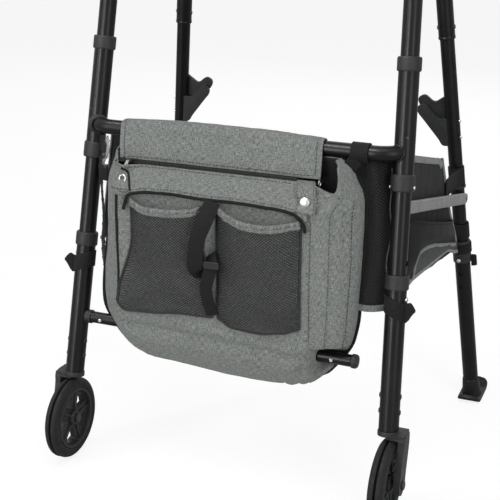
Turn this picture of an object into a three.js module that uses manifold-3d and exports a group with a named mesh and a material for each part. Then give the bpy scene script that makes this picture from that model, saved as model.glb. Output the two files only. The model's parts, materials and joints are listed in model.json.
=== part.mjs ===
// Folding two-wheeled walker with a fabric bag on its front crossbar and a pouch in each side frame.
// Millimetres, +Z up. The user stands at +Y, the bag and the wheels are at -Y, left is -X.
import * as THREE from 'three';
import { mergeVertices } from 'three/addons/utils/BufferGeometryUtils.js';
import Module from 'manifold-3d';

const wasm = await Module();
wasm.setup();

// Frame layout. Leg axes are placed at the crossbar's height, and lean and splay away from there.
const crossbarHeight = 517;
const frontHalfSpan = 236;
const rearHalfSpan = 235;
const sideDepth = 291;
const frontLeanDegrees = 11.6;
const frontSplayDegrees = 2.4;
const rearLeanDegrees = 6.05;
const rearSplayDegrees = 6;
const handleHeight = 846;

// Tubes and the room between pieces.
const sleeveRadius = 14.3;
const postRadius = 12.7;
const rearPostRadius = 11.1;
const rearTubeRadius = 12.7;
const tubeWall = 1.2;
const seatGap = 0.3;
const slidingGap = 0.4;
const overrun = 40;
const heightTravel = 50;
const roundSides = 20;
const smallSides = 12;

// Colours as they look in daylight.
const finish = {
  frameBlack: { color: 0x1b1c1c, roughness: 0.38, metalness: 0.55 },
  plasticBlack: { color: 0x202121, roughness: 0.62, metalness: 0 },
  braceGrey: { color: 0x8f918f, roughness: 0.45, metalness: 0.7 },
  steelBright: { color: 0xc9cac8, roughness: 0.25, metalness: 1 },
  tyreBlack: { color: 0x161717, roughness: 0.7, metalness: 0 },
  gripBlack: { color: 0x1a1b1b, roughness: 0.85, metalness: 0 },
  fabricGrey: { color: 0x7f8482, roughness: 0.95, metalness: 0 },
  pouchBlack: { color: 0x1c1d1d, roughness: 0.9, metalness: 0 },
  webbingBlack: { color: 0x151616, roughness: 0.9, metalness: 0 },
  meshBlack: { color: 0x101111, roughness: 0.9, metalness: 0 },
};

const walker = new THREE.Group();

function addMesh(name, geometry, look, parent = walker) {
  const mesh = new THREE.Mesh(geometry, new THREE.MeshStandardMaterial(look));
  mesh.name = name;
  parent.add(mesh);
  return mesh;
}

// Joining and cutting.
function toSolid(geometry) {
  const bare = geometry.clone();
  bare.deleteAttribute('normal');
  bare.deleteAttribute('uv');
  const merged = mergeVertices(bare);
  return new wasm.Manifold(new wasm.Mesh({
    numProp: 3,
    vertProperties: new Float32Array(merged.attributes.position.array),
    triVerts: new Uint32Array(merged.index.array),
  }));
}

function toGeometry(solid) {
  const mesh = solid.getMesh();
  const geometry = new THREE.BufferGeometry();
  geometry.setAttribute('position', new THREE.BufferAttribute(new Float32Array(mesh.vertProperties), 3));
  geometry.setIndex(new THREE.BufferAttribute(new Uint32Array(mesh.triVerts), 1));
  geometry.computeVertexNormals();
  return geometry;
}

function cutAway(geometry, ...cutters) {
  const body = cutters.reduce((left, cutter) => left.subtract(toSolid(cutter)), toSolid(geometry));
  return toGeometry(body);
}

function joined(...geometries) {
  const solids = geometries.map(toSolid);
  return toGeometry(solids.reduce((sum, solid) => sum.add(solid)));
}

// A turned piece about +Z: the profile is a list of [radius, height] points in order round its outline.
function turned(profile, sides = roundSides) {
  const points = profile.map(([radius, height]) => new THREE.Vector2(radius, height));
  const closed = profile[0][0] > 0 || profile[profile.length - 1][0] > 0;
  if (closed) points.push(points[0].clone());
  const geometry = new THREE.LatheGeometry(points, sides);
  geometry.rotateX(Math.PI / 2);
  return geometry;
}

function pipe(outer, inner, low, high, sides = roundSides) {
  return turned([[outer, low], [outer, high], [inner, high], [inner, low]], sides);
}

function rod(radius, low, high, sides = roundSides) {
  return turned([[0, low], [radius, low], [radius, high], [0, high]], sides);
}

function box(sizeX, sizeY, sizeZ, centreX = 0, centreY = 0, centreZ = 0) {
  return new THREE.BoxGeometry(sizeX, sizeY, sizeZ).translate(centreX, centreY, centreZ);
}

// An outline in a plane, pushed through a depth.
function slab(points, depth) {
  const shape = new THREE.Shape(points.map(([across, up]) => new THREE.Vector2(across, up)));
  return new THREE.ExtrudeGeometry(shape, { depth, bevelEnabled: false });
}

// A path of straight runs and round bends, with rings only where the tube turns.
class BentPath extends THREE.Curve {
  constructor(corners, bendRadius, ringsPerBend) {
    super();
    this.stations = [];
    const runs = corners.slice(1).map((corner, i) => corner.clone().sub(corners[i]).normalize());
    this.stations.push({ place: corners[0].clone(), heading: runs[0] });
    for (let i = 1; i < corners.length - 1; i += 1) {
      const before = runs[i - 1];
      const after = runs[i];
      const turn = before.angleTo(after);
      const setBack = bendRadius * Math.tan(turn / 2);
      const start = corners[i].clone().addScaledVector(before, -setBack);
      const axis = before.clone().cross(after).normalize();
      const toCentre = axis.clone().cross(before).normalize().multiplyScalar(bendRadius);
      const centre = start.clone().add(toCentre);
      for (let ring = 0; ring <= ringsPerBend; ring += 1) {
        const part = (turn * ring) / ringsPerBend;
        const spoke = toCentre.clone().negate().applyAxisAngle(axis, part);
        this.stations.push({
          place: centre.clone().add(spoke),
          heading: before.clone().applyAxisAngle(axis, part),
        });
      }
    }
    this.stations.push({ place: corners[corners.length - 1].clone(), heading: runs[runs.length - 1] });
    this.ringCount = this.stations.length - 1;
  }

  blended(t, key) {
    const at = Math.min(Math.max(t, 0), 1) * this.ringCount;
    const low = Math.min(Math.floor(at), this.ringCount - 1);
    return this.stations[low][key].clone().lerp(this.stations[low + 1][key], at - low);
  }

  getPoint(t) {
    return this.blended(t, 'place');
  }

  getTangent(t) {
    return this.blended(t, 'heading').normalize();
  }

  getUtoTmapping(u) {
    return u;
  }
}

function circleShape(outer, inner, sides) {
  const ring = (radius) => Array.from({ length: sides }, (_, i) => {
    const angle = (2 * Math.PI * i) / sides;
    return new THREE.Vector2(radius * Math.cos(angle), radius * Math.sin(angle));
  });
  const shape = new THREE.Shape(ring(outer));
  if (inner > 0) shape.holes.push(new THREE.Path(ring(inner)));
  return shape;
}

function bentTube(corners, bendRadius, outer, inner, ringsPerBend = 6, sides = roundSides) {
  const path = new BentPath(corners, bendRadius, ringsPerBend);
  return new THREE.ExtrudeGeometry(circleShape(outer, inner, sides), {
    steps: path.ringCount,
    bevelEnabled: false,
    extrudePath: path,
  });
}

// Leg axes. A leg frame has its origin on the axis at the crossbar's height and +Z up the leg.
const degrees = Math.PI / 180;

function legAxis(side, isRear) {
  const lean = Math.tan((isRear ? rearLeanDegrees : frontLeanDegrees) * degrees);
  const splay = Math.tan((isRear ? rearSplayDegrees : frontSplayDegrees) * degrees);
  const halfSpan = isRear ? rearHalfSpan : frontHalfSpan;
  const origin = new THREE.Vector3(side * halfSpan, isRear ? sideDepth : 0, crossbarHeight);
  const up = new THREE.Vector3(-side * splay, isRear ? -lean : lean, 1).normalize();
  return { origin, up };
}

function along(axis, height) {
  return (height - axis.origin.z) / axis.up.z;
}

function pointOn(axis, height) {
  return axis.origin.clone().addScaledVector(axis.up, along(axis, height));
}

function legMatrix(axis) {
  const turn = new THREE.Quaternion().setFromUnitVectors(new THREE.Vector3(0, 0, 1), axis.up);
  return new THREE.Matrix4().compose(axis.origin, turn, new THREE.Vector3(1, 1, 1));
}

function legGroup(axis) {
  const group = new THREE.Group();
  legMatrix(axis).decompose(group.position, group.quaternion, group.scale);
  walker.add(group);
  return group;
}

// A rod along a leg, in the walker's own frame.
function legCutter(axis, radius, low, high) {
  return rod(radius, along(axis, low), along(axis, high)).applyMatrix4(legMatrix(axis));
}

const sides = [
  { side: -1, name: 'left' },
  { side: 1, name: 'right' },
];

// Front sleeves: the outer tubes that the crossbar joins and the side frames turn in.
const sleeve = {
  bottom: 470,
  top: 636,
};

const upperCollar = {
  radius: 16.7,
  bottom: 465,
  top: 488,
  lip: 4.4,
  chamfer: 1.5,
};

const topCollar = {
  height: 20,
  cover: 14,
};

// A cup that covers the end of one tube and guides a thinner one. Heights grow from the lip's face.
function collarCup(outer, seatBore, guideBore, lip, length, chamfer) {
  return turned([
    [guideBore, 0], [outer - chamfer, 0], [outer, chamfer], [outer, length - chamfer],
    [outer - chamfer, length], [seatBore, length], [seatBore, lip], [guideBore, lip],
  ]);
}

function addSleeve({ side, name }) {
  const axis = legAxis(side, false);
  const leg = legGroup(axis);
  const bottom = along(axis, sleeve.bottom);
  const top = along(axis, sleeve.top);
  addMesh(`${name}_front_sleeve`, pipe(sleeveRadius, sleeveRadius - tubeWall, bottom, top), finish.frameBlack, leg);
  const seatBore = sleeveRadius + seatGap;
  const guideBore = postRadius + slidingGap;
  const collarLength = along(axis, upperCollar.top) - along(axis, upperCollar.bottom);
  const collar = collarCup(
    upperCollar.radius, seatBore, guideBore, upperCollar.lip, collarLength, upperCollar.chamfer,
  );
  collar.translate(0, 0, bottom - seatGap - upperCollar.lip);
  addMesh(`${name}_upper_collar`, collar, finish.plasticBlack, leg);
  const cap = collarCup(
    upperCollar.radius, seatBore, guideBore, upperCollar.lip, topCollar.height, upperCollar.chamfer,
  );
  cap.rotateX(Math.PI);
  cap.translate(0, 0, top + seatGap + upperCollar.lip);
  addMesh(`${name}_top_collar`, cap, finish.plasticBlack, leg);
}

// Crossbar: a bowed tube welded to the right sleeve, and bolted to the left one over a saddle washer.
const crossbar = {
  radius: 11,
  forward: 22,
  bend: 40,
  endDegrees: 55,
  saddleRadius: 14.7,
  saddleReach: 19,
  rings: 5,
};

function crossbarEnd(side) {
  const angle = crossbar.endDegrees * degrees;
  return new THREE.Vector3(-side * Math.cos(angle), -Math.sin(angle), 0);
}

function addCrossbar() {
  const leftAxis = legAxis(-1, false);
  const rightAxis = legAxis(1, false);
  const leftWay = crossbarEnd(-1);
  const rightWay = crossbarEnd(1);
  const leftRun = crossbar.forward / -leftWay.y;
  const rightRun = crossbar.forward / -rightWay.y;
  const corners = [
    leftAxis.origin.clone(),
    leftAxis.origin.clone().addScaledVector(leftWay, leftRun),
    rightAxis.origin.clone().addScaledVector(rightWay, rightRun),
    rightAxis.origin.clone(),
  ];
  const bar = bentTube(corners, crossbar.bend, crossbar.radius, crossbar.radius - tubeWall, crossbar.rings);
  const low = crossbarHeight - overrun;
  const high = crossbarHeight + overrun;
  const wayTurn = new THREE.Quaternion().setFromUnitVectors(new THREE.Vector3(0, 0, 1), leftWay);
  const block = rod(crossbar.saddleRadius + crossbar.radius, -overrun, crossbar.saddleReach + seatGap);
  block.applyQuaternion(wayTurn);
  block.translate(leftAxis.origin.x, leftAxis.origin.y, leftAxis.origin.z);
  const trimmed = cutAway(bar, block, legCutter(rightAxis, sleeveRadius + seatGap, low, high));
  addMesh('crossbar', trimmed, finish.frameBlack);
  const washer = rod(crossbar.saddleRadius, 0, crossbar.saddleReach);
  washer.applyQuaternion(wayTurn);
  washer.translate(leftAxis.origin.x, leftAxis.origin.y, leftAxis.origin.z);
  addMesh(
    'crossbar_saddle',
    cutAway(washer, legCutter(leftAxis, sleeveRadius + seatGap, low, high)),
    finish.plasticBlack,
  );
}

// Lower front legs: outer tubes that slide on the side frames' front posts and carry the wheels.
const frontTube = {
  bottom: 138,
  top: 349,
};

const lowerCollar = {
  length: 21,
};

const wheel = {
  radius: 63.5,
  width: 22,
  rimRadius: 48,
  grooveWidth: 3.2,
  grooveDepth: 7,
  hubRadius: 13,
  boreRadius: 4.4,
  axleRadius: 4,
  spokeCount: 5,
  spokeWidth: 13,
  rimWall: 3.6,
  webThickness: 8,
  sides: 28,
};

const arm = {
  plugTop: 195,
  plugRadius: 12.6,
  skirtRadius: 15.4,
  skirtLength: 7,
  plateThickness: 9,
  plateWidth: 30,
  hubPadRadius: 17,
  sideGap: 4,
};

function wheelCentre(axis) {
  return pointOn(axis, wheel.radius);
}

function wheelLathe(profile, segments) {
  const geometry = turned(profile, segments);
  geometry.rotateY(Math.PI / 2);
  return geometry;
}

function addWheel({ side, name }) {
  const centre = wheelCentre(legAxis(side, false));
  const half = wheel.width / 2;
  const shoulder = wheel.radius - half / 2;
  const grooveHalf = wheel.grooveWidth / 2;
  const grooveFloor = wheel.radius - wheel.grooveDepth;
  const tyre = wheelLathe([
    [wheel.rimRadius, -half], [shoulder, -half], [wheel.radius, -half / 2], [wheel.radius, -grooveHalf],
    [grooveFloor, -grooveHalf], [grooveFloor, grooveHalf], [wheel.radius, grooveHalf],
    [wheel.radius, half / 2], [shoulder, half], [wheel.rimRadius, half],
  ], wheel.sides);
  tyre.translate(centre.x, centre.y, centre.z);
  addMesh(`${name}_tyre`, tyre, finish.tyreBlack);
  const rimOuter = wheel.rimRadius - seatGap;
  const rimInner = rimOuter - wheel.rimWall;
  const rim = wheelLathe([[rimInner, -half], [rimOuter, -half], [rimOuter, half], [rimInner, half]], wheel.sides);
  const hub = wheelLathe([[0, -half], [wheel.hubRadius, -half], [wheel.hubRadius, half], [0, half]], roundSides);
  const spokes = [];
  for (let i = 0; i < wheel.spokeCount; i += 1) {
    const spokeLength = rimInner + wheel.rimWall / 2;
    const spoke = box(wheel.webThickness, wheel.spokeWidth, spokeLength, 0, 0, spokeLength / 2);
    spoke.rotateX((2 * Math.PI * i) / wheel.spokeCount);
    spokes.push(spoke);
  }
  const bore = wheelLathe([[0, -overrun], [wheel.boreRadius, -overrun], [wheel.boreRadius, overrun], [0, overrun]]);
  const rimSolid = cutAway(joined(rim, hub, ...spokes), bore);
  rimSolid.translate(centre.x, centre.y, centre.z);
  addMesh(`${name}_wheel_rim`, rimSolid, finish.plasticBlack);
}

// The wheel arm plugs into the tube's foot, steps outboard and runs down beside the wheel to the axle.
function addWheelArm({ side, name }) {
  const axis = legAxis(side, false);
  const centre = wheelCentre(axis);
  const foot = pointOn(axis, frontTube.bottom);
  const inner = centre.x + side * (wheel.width / 2 + arm.sideGap);
  const outer = inner + side * arm.plateThickness;
  const plug = legCutter(axis, arm.plugRadius, frontTube.bottom - arm.skirtLength, arm.plugTop);
  const skirtTop = frontTube.bottom - seatGap;
  const skirt = legCutter(axis, arm.skirtRadius, skirtTop - arm.skirtLength, skirtTop);
  const shoulderBottom = skirtTop - arm.skirtLength;
  const shoulderBox = box(
    Math.abs(outer - foot.x), arm.plateWidth, arm.skirtLength,
    (outer + foot.x) / 2, foot.y, shoulderBottom + arm.skirtLength / 2,
  );
  const halfPlate = arm.plateWidth / 2;
  const outline = [
    [foot.y - halfPlate, skirtTop], [foot.y - halfPlate, shoulderBottom - arm.skirtLength],
    [centre.y - arm.hubPadRadius, centre.z], [centre.y, centre.z - arm.hubPadRadius],
    [centre.y + arm.hubPadRadius, centre.z], [foot.y + halfPlate, shoulderBottom - arm.skirtLength],
    [foot.y + halfPlate, skirtTop],
  ];
  const plate = slab(outline, arm.plateThickness);
  plate.rotateY(Math.PI / 2);
  plate.rotateX(Math.PI / 2);
  plate.translate(Math.min(inner, outer), 0, 0);
  const axleHole = wheelLathe([
    [0, -overrun], [wheel.boreRadius, -overrun], [wheel.boreRadius, overrun], [0, overrun],
  ], smallSides);
  axleHole.translate(inner, centre.y, centre.z);
  const tubeRoom = legCutter(axis, sleeveRadius + seatGap, skirtTop, frontTube.top);
  const body = cutAway(joined(skirt, shoulderBox, plate), tubeRoom, axleHole);
  addMesh(`${name}_wheel_arm`, joined(body, plug), finish.plasticBlack);
  const axleIn = centre.x - side * (wheel.width / 2 + axle.headThickness + seatGap);
  const axleOut = outer + side * (axle.headThickness + seatGap);
  const low = Math.min(axleIn, axleOut) - centre.x;
  const high = Math.max(axleIn, axleOut) - centre.x;
  const head = axle.headThickness;
  const bolt = wheelLathe([
    [0, low], [axle.headRadius, low], [axle.headRadius, low + head], [wheel.axleRadius, low + head],
    [wheel.axleRadius, high - head], [axle.headRadius, high - head], [axle.headRadius, high], [0, high],
  ], smallSides);
  bolt.translate(centre.x, centre.y, centre.z);
  addMesh(`${name}_wheel_axle`, bolt, finish.steelBright);
}

const axle = {
  headRadius: 7,
  headThickness: 3,
};

// Snap buttons: each sits in a hole of the outer tube, over a hole of the tube inside it.
const button = {
  radius: 3.4,
  holeRadius: 3.9,
  proud: 2.2,
  travel: 2.4,
  pitch: 25,
  frontHeight: 320,
  rearHeight: 262,
  bottomClear: 0.5,
  rearTurnDegrees: 10,
};

function sideways(turnDegrees, radius, reach, height) {
  const geometry = rod(radius, 0, reach, smallSides);
  geometry.rotateY(Math.PI / 2);
  geometry.rotateZ(turnDegrees * degrees);
  geometry.translate(0, 0, height);
  return geometry;
}

// Holes along a tube, one at the button and one at each step of the height, placed in the walker's frame.
function heightHoles(axis, turnDegrees, startHeight, upOrDown) {
  const count = 1 + Math.floor(heightTravel / button.pitch);
  const toWorld = legMatrix(axis);
  return Array.from({ length: count }, (_, i) => {
    const height = along(axis, startHeight) + upOrDown * i * button.pitch;
    return sideways(turnDegrees, button.holeRadius, overrun, height).applyMatrix4(toWorld);
  });
}

function frontTurn(side) {
  return side > 0 ? 0 : 180;
}

function rearTurn(side) {
  return -90 - side * button.rearTurnDegrees;
}

function frontHoles(axis, side) {
  return heightHoles(axis, frontTurn(side), button.frontHeight, 1);
}

function rearHoles(axis, side, upOrDown) {
  return heightHoles(axis, rearTurn(side), button.rearHeight, upOrDown);
}

function buttonStud(turnDegrees, tubeRadius, innerRadius, height) {
  const start = innerRadius + button.bottomClear;
  const end = tubeRadius + button.proud;
  const chamfer = button.proud / 2;
  const geometry = turned([
    [0, start], [button.radius, start], [button.radius, end - chamfer],
    [button.radius - chamfer, end], [0, end],
  ], smallSides);
  geometry.rotateY(Math.PI / 2);
  geometry.rotateZ(turnDegrees * degrees);
  geometry.translate(0, 0, height);
  return geometry;
}

function addFrontTube({ side, name }) {
  const axis = legAxis(side, false);
  const leg = legGroup(axis);
  const bottom = along(axis, frontTube.bottom);
  const top = along(axis, frontTube.top);
  const outward = frontTurn(side);
  const buttonPlace = along(axis, button.frontHeight);
  const tube = cutAway(
    pipe(sleeveRadius, sleeveRadius - tubeWall, bottom, top),
    sideways(outward, button.holeRadius, overrun, buttonPlace),
  );
  addMesh(`${name}_front_leg_tube`, tube, finish.frameBlack, leg);
  addMesh(
    `${name}_front_button`,
    buttonStud(outward, sleeveRadius, postRadius, buttonPlace),
    finish.steelBright, leg,
  );
  const collar = collarCup(
    upperCollar.radius, sleeveRadius + seatGap, postRadius + slidingGap, upperCollar.lip,
    lowerCollar.length, upperCollar.chamfer,
  );
  collar.rotateX(Math.PI);
  collar.translate(0, 0, top + seatGap + upperCollar.lip);
  addMesh(`${name}_lower_collar`, collar, finish.plasticBlack, leg);
}

// Webbing bands round the legs, with a short tail through a keeper.
const band = {
  thickness: 2,
  frontWidth: 24,
  frontMiddle: 290,
  rearUpperWidth: 30,
  rearUpperMiddle: 406,
  rearLowerWidth: 14,
  tailLength: 20,
  frontTailDegrees: 15,
  pouchTailLength: 84,
  tailThickness: 3,
  fit: 0.4,
};

function bandRing(axis, bore, width, middle, tailTurn) {
  const centre = along(axis, middle);
  const low = centre - width / 2;
  const high = centre + width / 2;
  const outer = bore + band.thickness;
  const tailMiddle = outer + band.tailLength / 2 - band.thickness / 2;
  const tail = box(band.tailLength, band.tailThickness, width, tailMiddle, 0, centre);
  tail.rotateZ(tailTurn * degrees);
  const hole = rod(bore, low - overrun, high + overrun);
  return cutAway(joined(rod(outer, low, high), tail), hole);
}

function addFrontBand({ side, name }) {
  const axis = legAxis(side, false);
  const tailTurn = side > 0 ? band.frontTailDegrees : 180 + band.frontTailDegrees;
  const ring = bandRing(axis, sleeveRadius + band.fit, band.frontWidth, band.frontMiddle, tailTurn);
  addMesh(`${name}_front_band`, ring, finish.webbingBlack, legGroup(axis));
}

// Lower bar: bolted through the left leg over a saddle, it runs through the bag's foot to a free capped end.
const lowerBar = {
  radius: 8.8,
  height: 225,
  freeEnd: 190,
  saddleRadius: 10.4,
  saddleThickness: 4,
  capRadius: 10.3,
  capLength: 9,
  capPlug: 14,
};

function lowerBarAxis() {
  return pointOn(legAxis(-1, false), lowerBar.height);
}

function addLowerBar() {
  const leftAxis = legAxis(-1, false);
  const root = lowerBarAxis();
  const saddleEnd = sleeveRadius + seatGap + lowerBar.saddleThickness;
  const barStart = root.x + saddleEnd + seatGap;
  const barEnd = lowerBar.freeEnd;
  const place = (geometry) => geometry.rotateY(Math.PI / 2).translate(0, root.y, root.z);
  addMesh(
    'lower_bar',
    place(pipe(lowerBar.radius, lowerBar.radius - tubeWall, barStart, barEnd)),
    finish.frameBlack,
  );
  const washer = place(rod(lowerBar.saddleRadius, root.x, root.x + saddleEnd));
  const legLow = lowerBar.height - overrun;
  const legHigh = lowerBar.height + overrun;
  addMesh(
    'lower_bar_saddle',
    cutAway(washer, legCutter(leftAxis, sleeveRadius + seatGap, legLow, legHigh)),
    finish.plasticBlack,
  );
  const plugRadius = lowerBar.radius - tubeWall - seatGap;
  const faceStart = barEnd + seatGap;
  const cap = turned([
    [0, faceStart - lowerBar.capPlug], [plugRadius, faceStart - lowerBar.capPlug], [plugRadius, faceStart],
    [lowerBar.capRadius, faceStart], [lowerBar.capRadius, faceStart + lowerBar.capLength / 2],
    [lowerBar.capRadius * domeShare, faceStart + lowerBar.capLength], [0, faceStart + lowerBar.capLength],
  ]);
  addMesh('lower_bar_cap', place(cap), finish.plasticBlack);
}

const domeShare = 0.62;

// Side frames: a front post that turns in the sleeve, a handle bow, and a rear post plugged into the bow.
const sideRail = {
  postBottom: 252,
  bowBend: 52,
  bowRings: 5,
  rearEnd: 628,
};

const rearPost = {
  plugTop: 668,
  bottom: 128,
};

const grip = {
  radius: 17,
  ribRadius: 18.4,
  ribCount: 7,
  sides: 16,
};

function bowCorners(side) {
  const front = legAxis(side, false);
  const rear = legAxis(side, true);
  return {
    front,
    rear,
    low: pointOn(front, sideRail.postBottom),
    frontTop: pointOn(front, handleHeight),
    rearTop: pointOn(rear, handleHeight),
    rearLow: pointOn(rear, sideRail.rearEnd),
  };
}

function addSideFrame({ side, name }) {
  const bow = bowCorners(side);
  const rail = bentTube(
    [bow.low, bow.frontTop, bow.rearTop, bow.rearLow], sideRail.bowBend,
    postRadius, postRadius - tubeWall, sideRail.bowRings,
  );
  addMesh(`${name}_side_rail`, cutAway(rail, ...frontHoles(bow.front, side)), finish.frameBlack);
  const post = legCutter(bow.rear, rearPostRadius, rearPost.bottom, rearPost.plugTop);
  const bore = legCutter(bow.rear, rearPostRadius - tubeWall, rearPost.bottom - overrun, rearPost.plugTop + overrun);
  addMesh(`${name}_rear_post`, cutAway(post, bore, ...rearHoles(bow.rear, side, 1)), finish.frameBlack);
  addGrip(side, name, bow);
}

// The grip is a ribbed foam sleeve on the straight part of the bow.
function addGrip(side, name, bow) {
  const way = bow.rearTop.clone().sub(bow.frontTop);
  const length = way.length();
  const heading = way.clone().normalize();
  const turnAt = (up) => {
    const corner = heading.angleTo(up);
    return sideRail.bowBend * Math.tan(corner / 2);
  };
  const start = turnAt(bow.front.up.clone());
  const end = length - turnAt(bow.rear.up.clone().negate());
  const bore = postRadius + seatGap;
  const profile = [[bore, start], [grip.radius, start]];
  const pitch = (end - start) / grip.ribCount;
  for (let i = 0; i < grip.ribCount; i += 1) {
    const low = start + i * pitch;
    profile.push([grip.ribRadius, low + pitch * ribInShare], [grip.ribRadius, low + pitch * ribOutShare]);
    if (i < grip.ribCount - 1) profile.push([grip.radius, low + pitch]);
  }
  profile.push([grip.radius, end], [bore, end]);
  const sleeveGeometry = turned(profile, grip.sides);
  const quaternion = new THREE.Quaternion().setFromUnitVectors(new THREE.Vector3(0, 0, 1), heading);
  sleeveGeometry.applyQuaternion(quaternion);
  sleeveGeometry.translate(bow.frontTop.x, bow.frontTop.y, bow.frontTop.z);
  addMesh(`${name}_grip`, sleeveGeometry, finish.gripBlack);
}

const ribInShare = 0.25;
const ribOutShare = 0.75;

// Side brace: a grey flat bar with round ends; the front end sits behind the front post, and the rear
// end laps the rear post's outer side.
const brace = {
  frontHeight: 447,
  rearHeight: 369,
  halfHeight: 9,
  thickness: 8,
  frontAway: 6.5,
  rearAway: 10,
  edge: 2.5,
  endSteps: 8,
};

function stadium(length, radius, steps) {
  const points = [];
  for (let i = 0; i <= steps; i += 1) {
    const angle = Math.PI * (0.5 + i / steps);
    points.push([radius * Math.cos(angle), radius * Math.sin(angle)]);
  }
  for (let i = 0; i <= steps; i += 1) {
    const angle = Math.PI * (1.5 + i / steps);
    points.push([length + radius * Math.cos(angle), radius * Math.sin(angle)]);
  }
  return new THREE.Shape(points.map(([across, up]) => new THREE.Vector2(across, up)));
}

function addBrace({ side, name }) {
  const front = legAxis(side, false);
  const rear = legAxis(side, true);
  const start = pointOn(front, brace.frontHeight);
  const end = pointOn(rear, brace.rearHeight);
  start.x += side * brace.frontAway;
  end.x += side * brace.rearAway;
  const heading = end.clone().sub(start);
  const length = heading.length();
  heading.normalize();
  const bar = new THREE.ExtrudeGeometry(stadium(length, brace.halfHeight - brace.edge, brace.endSteps), {
    depth: brace.thickness - 2 * brace.edge,
    bevelThickness: brace.edge,
    bevelSize: brace.edge,
    bevelSegments: 1,
  });
  bar.translate(0, 0, brace.edge - brace.thickness / 2);
  const across = new THREE.Vector3(0, 0, 1).cross(heading).normalize();
  const up = heading.clone().cross(across).negate();
  bar.applyMatrix4(new THREE.Matrix4().makeBasis(heading, up, heading.clone().cross(up)));
  bar.translate(start.x, start.y, start.z);
  const low = brace.rearHeight - overrun;
  const high = brace.frontHeight + overrun;
  const trimmed = cutAway(
    bar,
    legCutter(front, postRadius + seatGap, low, high),
    legCutter(rear, rearPostRadius + seatGap, low, high),
  );
  addMesh(`${name}_side_brace`, trimmed, finish.braceGrey);
}

// Storage clip: a hook on the rear post's inner side, made of a front plate and a higher rear plate.
const clip = {
  middle: 512,
  plate: 5,
  channel: 7,
  seatAway: 21,
  seatDrop: 9.5,
  tipAway: 42.5,
  tipRise: 16.5,
  noseAway: 54,
  noseRise: 12,
  noseFoot: 2,
  undersideAway: 44,
  undersideDrop: 12,
  waistAway: 22.5,
  waistDrop: 44.5,
  footAway: 18,
  footDrop: 55,
  rearLift: 11.5,
  notchAway: 28.5,
  notchRise: 13.5,
  rootRise: 30,
};

// The hook's nose and underside, as points away from the post and up, lifted for the rear plate.
function hookEdge(lift) {
  return [
    [clip.tipAway, clip.tipRise + lift], [clip.noseAway, clip.noseRise + lift], [clip.noseAway, clip.noseFoot + lift],
    [clip.undersideAway, lift - clip.undersideDrop], [clip.waistAway, lift - clip.waistDrop],
    [clip.footAway, lift - clip.footDrop], [0, lift - clip.footDrop],
  ];
}

function hookPlate(outline, thickness, from) {
  const plate = slab(outline, thickness);
  plate.translate(0, 0, from);
  return plate.rotateX(Math.PI / 2);
}

function addClip({ side, name }) {
  const axis = legAxis(side, true);
  const leg = legGroup(axis);
  const inner = clip.channel / 2;
  const outer = inner + clip.plate;
  const webDepth = clip.channel + clip.plate;
  const webTop = clip.seatDrop + clip.plate;
  const webAway = clip.waistAway - clip.plate;
  const front = [[0, -clip.seatDrop], [clip.seatAway, -clip.seatDrop], ...hookEdge(0)];
  const rear = [[0, clip.rootRise], [clip.notchAway, clip.notchRise], ...hookEdge(clip.rearLift)];
  const web = [
    [0, -webTop], [webAway, -webTop], [webAway, clip.rearLift - clip.waistDrop],
    [0, clip.rearLift - clip.waistDrop],
  ];
  const fork = joined(
    hookPlate(front, clip.plate, side > 0 ? -outer : inner),
    hookPlate(rear, clip.plate, side > 0 ? inner : -outer),
    hookPlate(web, webDepth, -webDepth / 2),
  );
  fork.translate(0, 0, along(axis, clip.middle));
  const inward = side > 0 ? 180 : 0;
  fork.rotateZ(inward * degrees);
  const bore = rod(
    rearPostRadius + seatGap,
    along(axis, clip.middle - 2 * overrun), along(axis, clip.middle + 2 * overrun),
  );
  addMesh(`${name}_storage_clip`, cutAway(fork, bore), finish.plasticBlack, leg);
}

// Rear lower legs: outer tubes with a collar, a snap button and a ski glide.
const rearTube = {
  bottom: 16,
  top: 290,
};

const rearCollar = {
  radius: 14.9,
  length: 38,
  lip: 3.6,
};

const glide = {
  width: 40,
  plugRadius: 11.2,
  plugTop: 56,
  cupRadius: 15.5,
  cupTop: 34,
  cupBottom: 6,
  toe: 22,
  heel: 34,
  thickness: 6,
  tailRise: 24,
  toeRise: 14,
};

function addRearLeg({ side, name }) {
  const axis = legAxis(side, true);
  const leg = legGroup(axis);
  const top = along(axis, rearTube.top);
  const buttonPlace = along(axis, button.rearHeight);
  const facing = rearTurn(side);
  const tube = legCutter(axis, rearTubeRadius, rearTube.bottom, rearTube.top);
  const tubeBore = legCutter(axis, rearTubeRadius - tubeWall, rearTube.bottom - overrun, rearTube.top + overrun);
  addMesh(`${name}_rear_leg_tube`, cutAway(tube, tubeBore, ...rearHoles(axis, side, -1)), finish.frameBlack);
  addMesh(
    `${name}_rear_button`,
    buttonStud(facing, rearCollar.radius, rearPostRadius, buttonPlace),
    finish.steelBright, leg,
  );
  const collar = collarCup(
    rearCollar.radius, rearTubeRadius + seatGap, rearPostRadius + slidingGap, rearCollar.lip,
    rearCollar.length, upperCollar.chamfer,
  );
  collar.rotateX(Math.PI);
  collar.translate(0, 0, top + seatGap + rearCollar.lip);
  const bored = cutAway(collar, sideways(facing, button.holeRadius, overrun, buttonPlace));
  addMesh(`${name}_rear_collar`, bored, finish.plasticBlack, leg);
  addGlide(side, name, axis);
  const bandMiddle = rearTube.top + rearCollar.lip + seatGap + band.fit + band.rearLowerWidth / 2;
  const lowBand = bandRing(axis, rearPostRadius + band.fit, band.rearLowerWidth, bandMiddle, side > 0 ? 0 : 180);
  addMesh(`${name}_rear_lower_band`, lowBand, finish.webbingBlack, leg);
  addPouchBand(side, name, axis);
}

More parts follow.
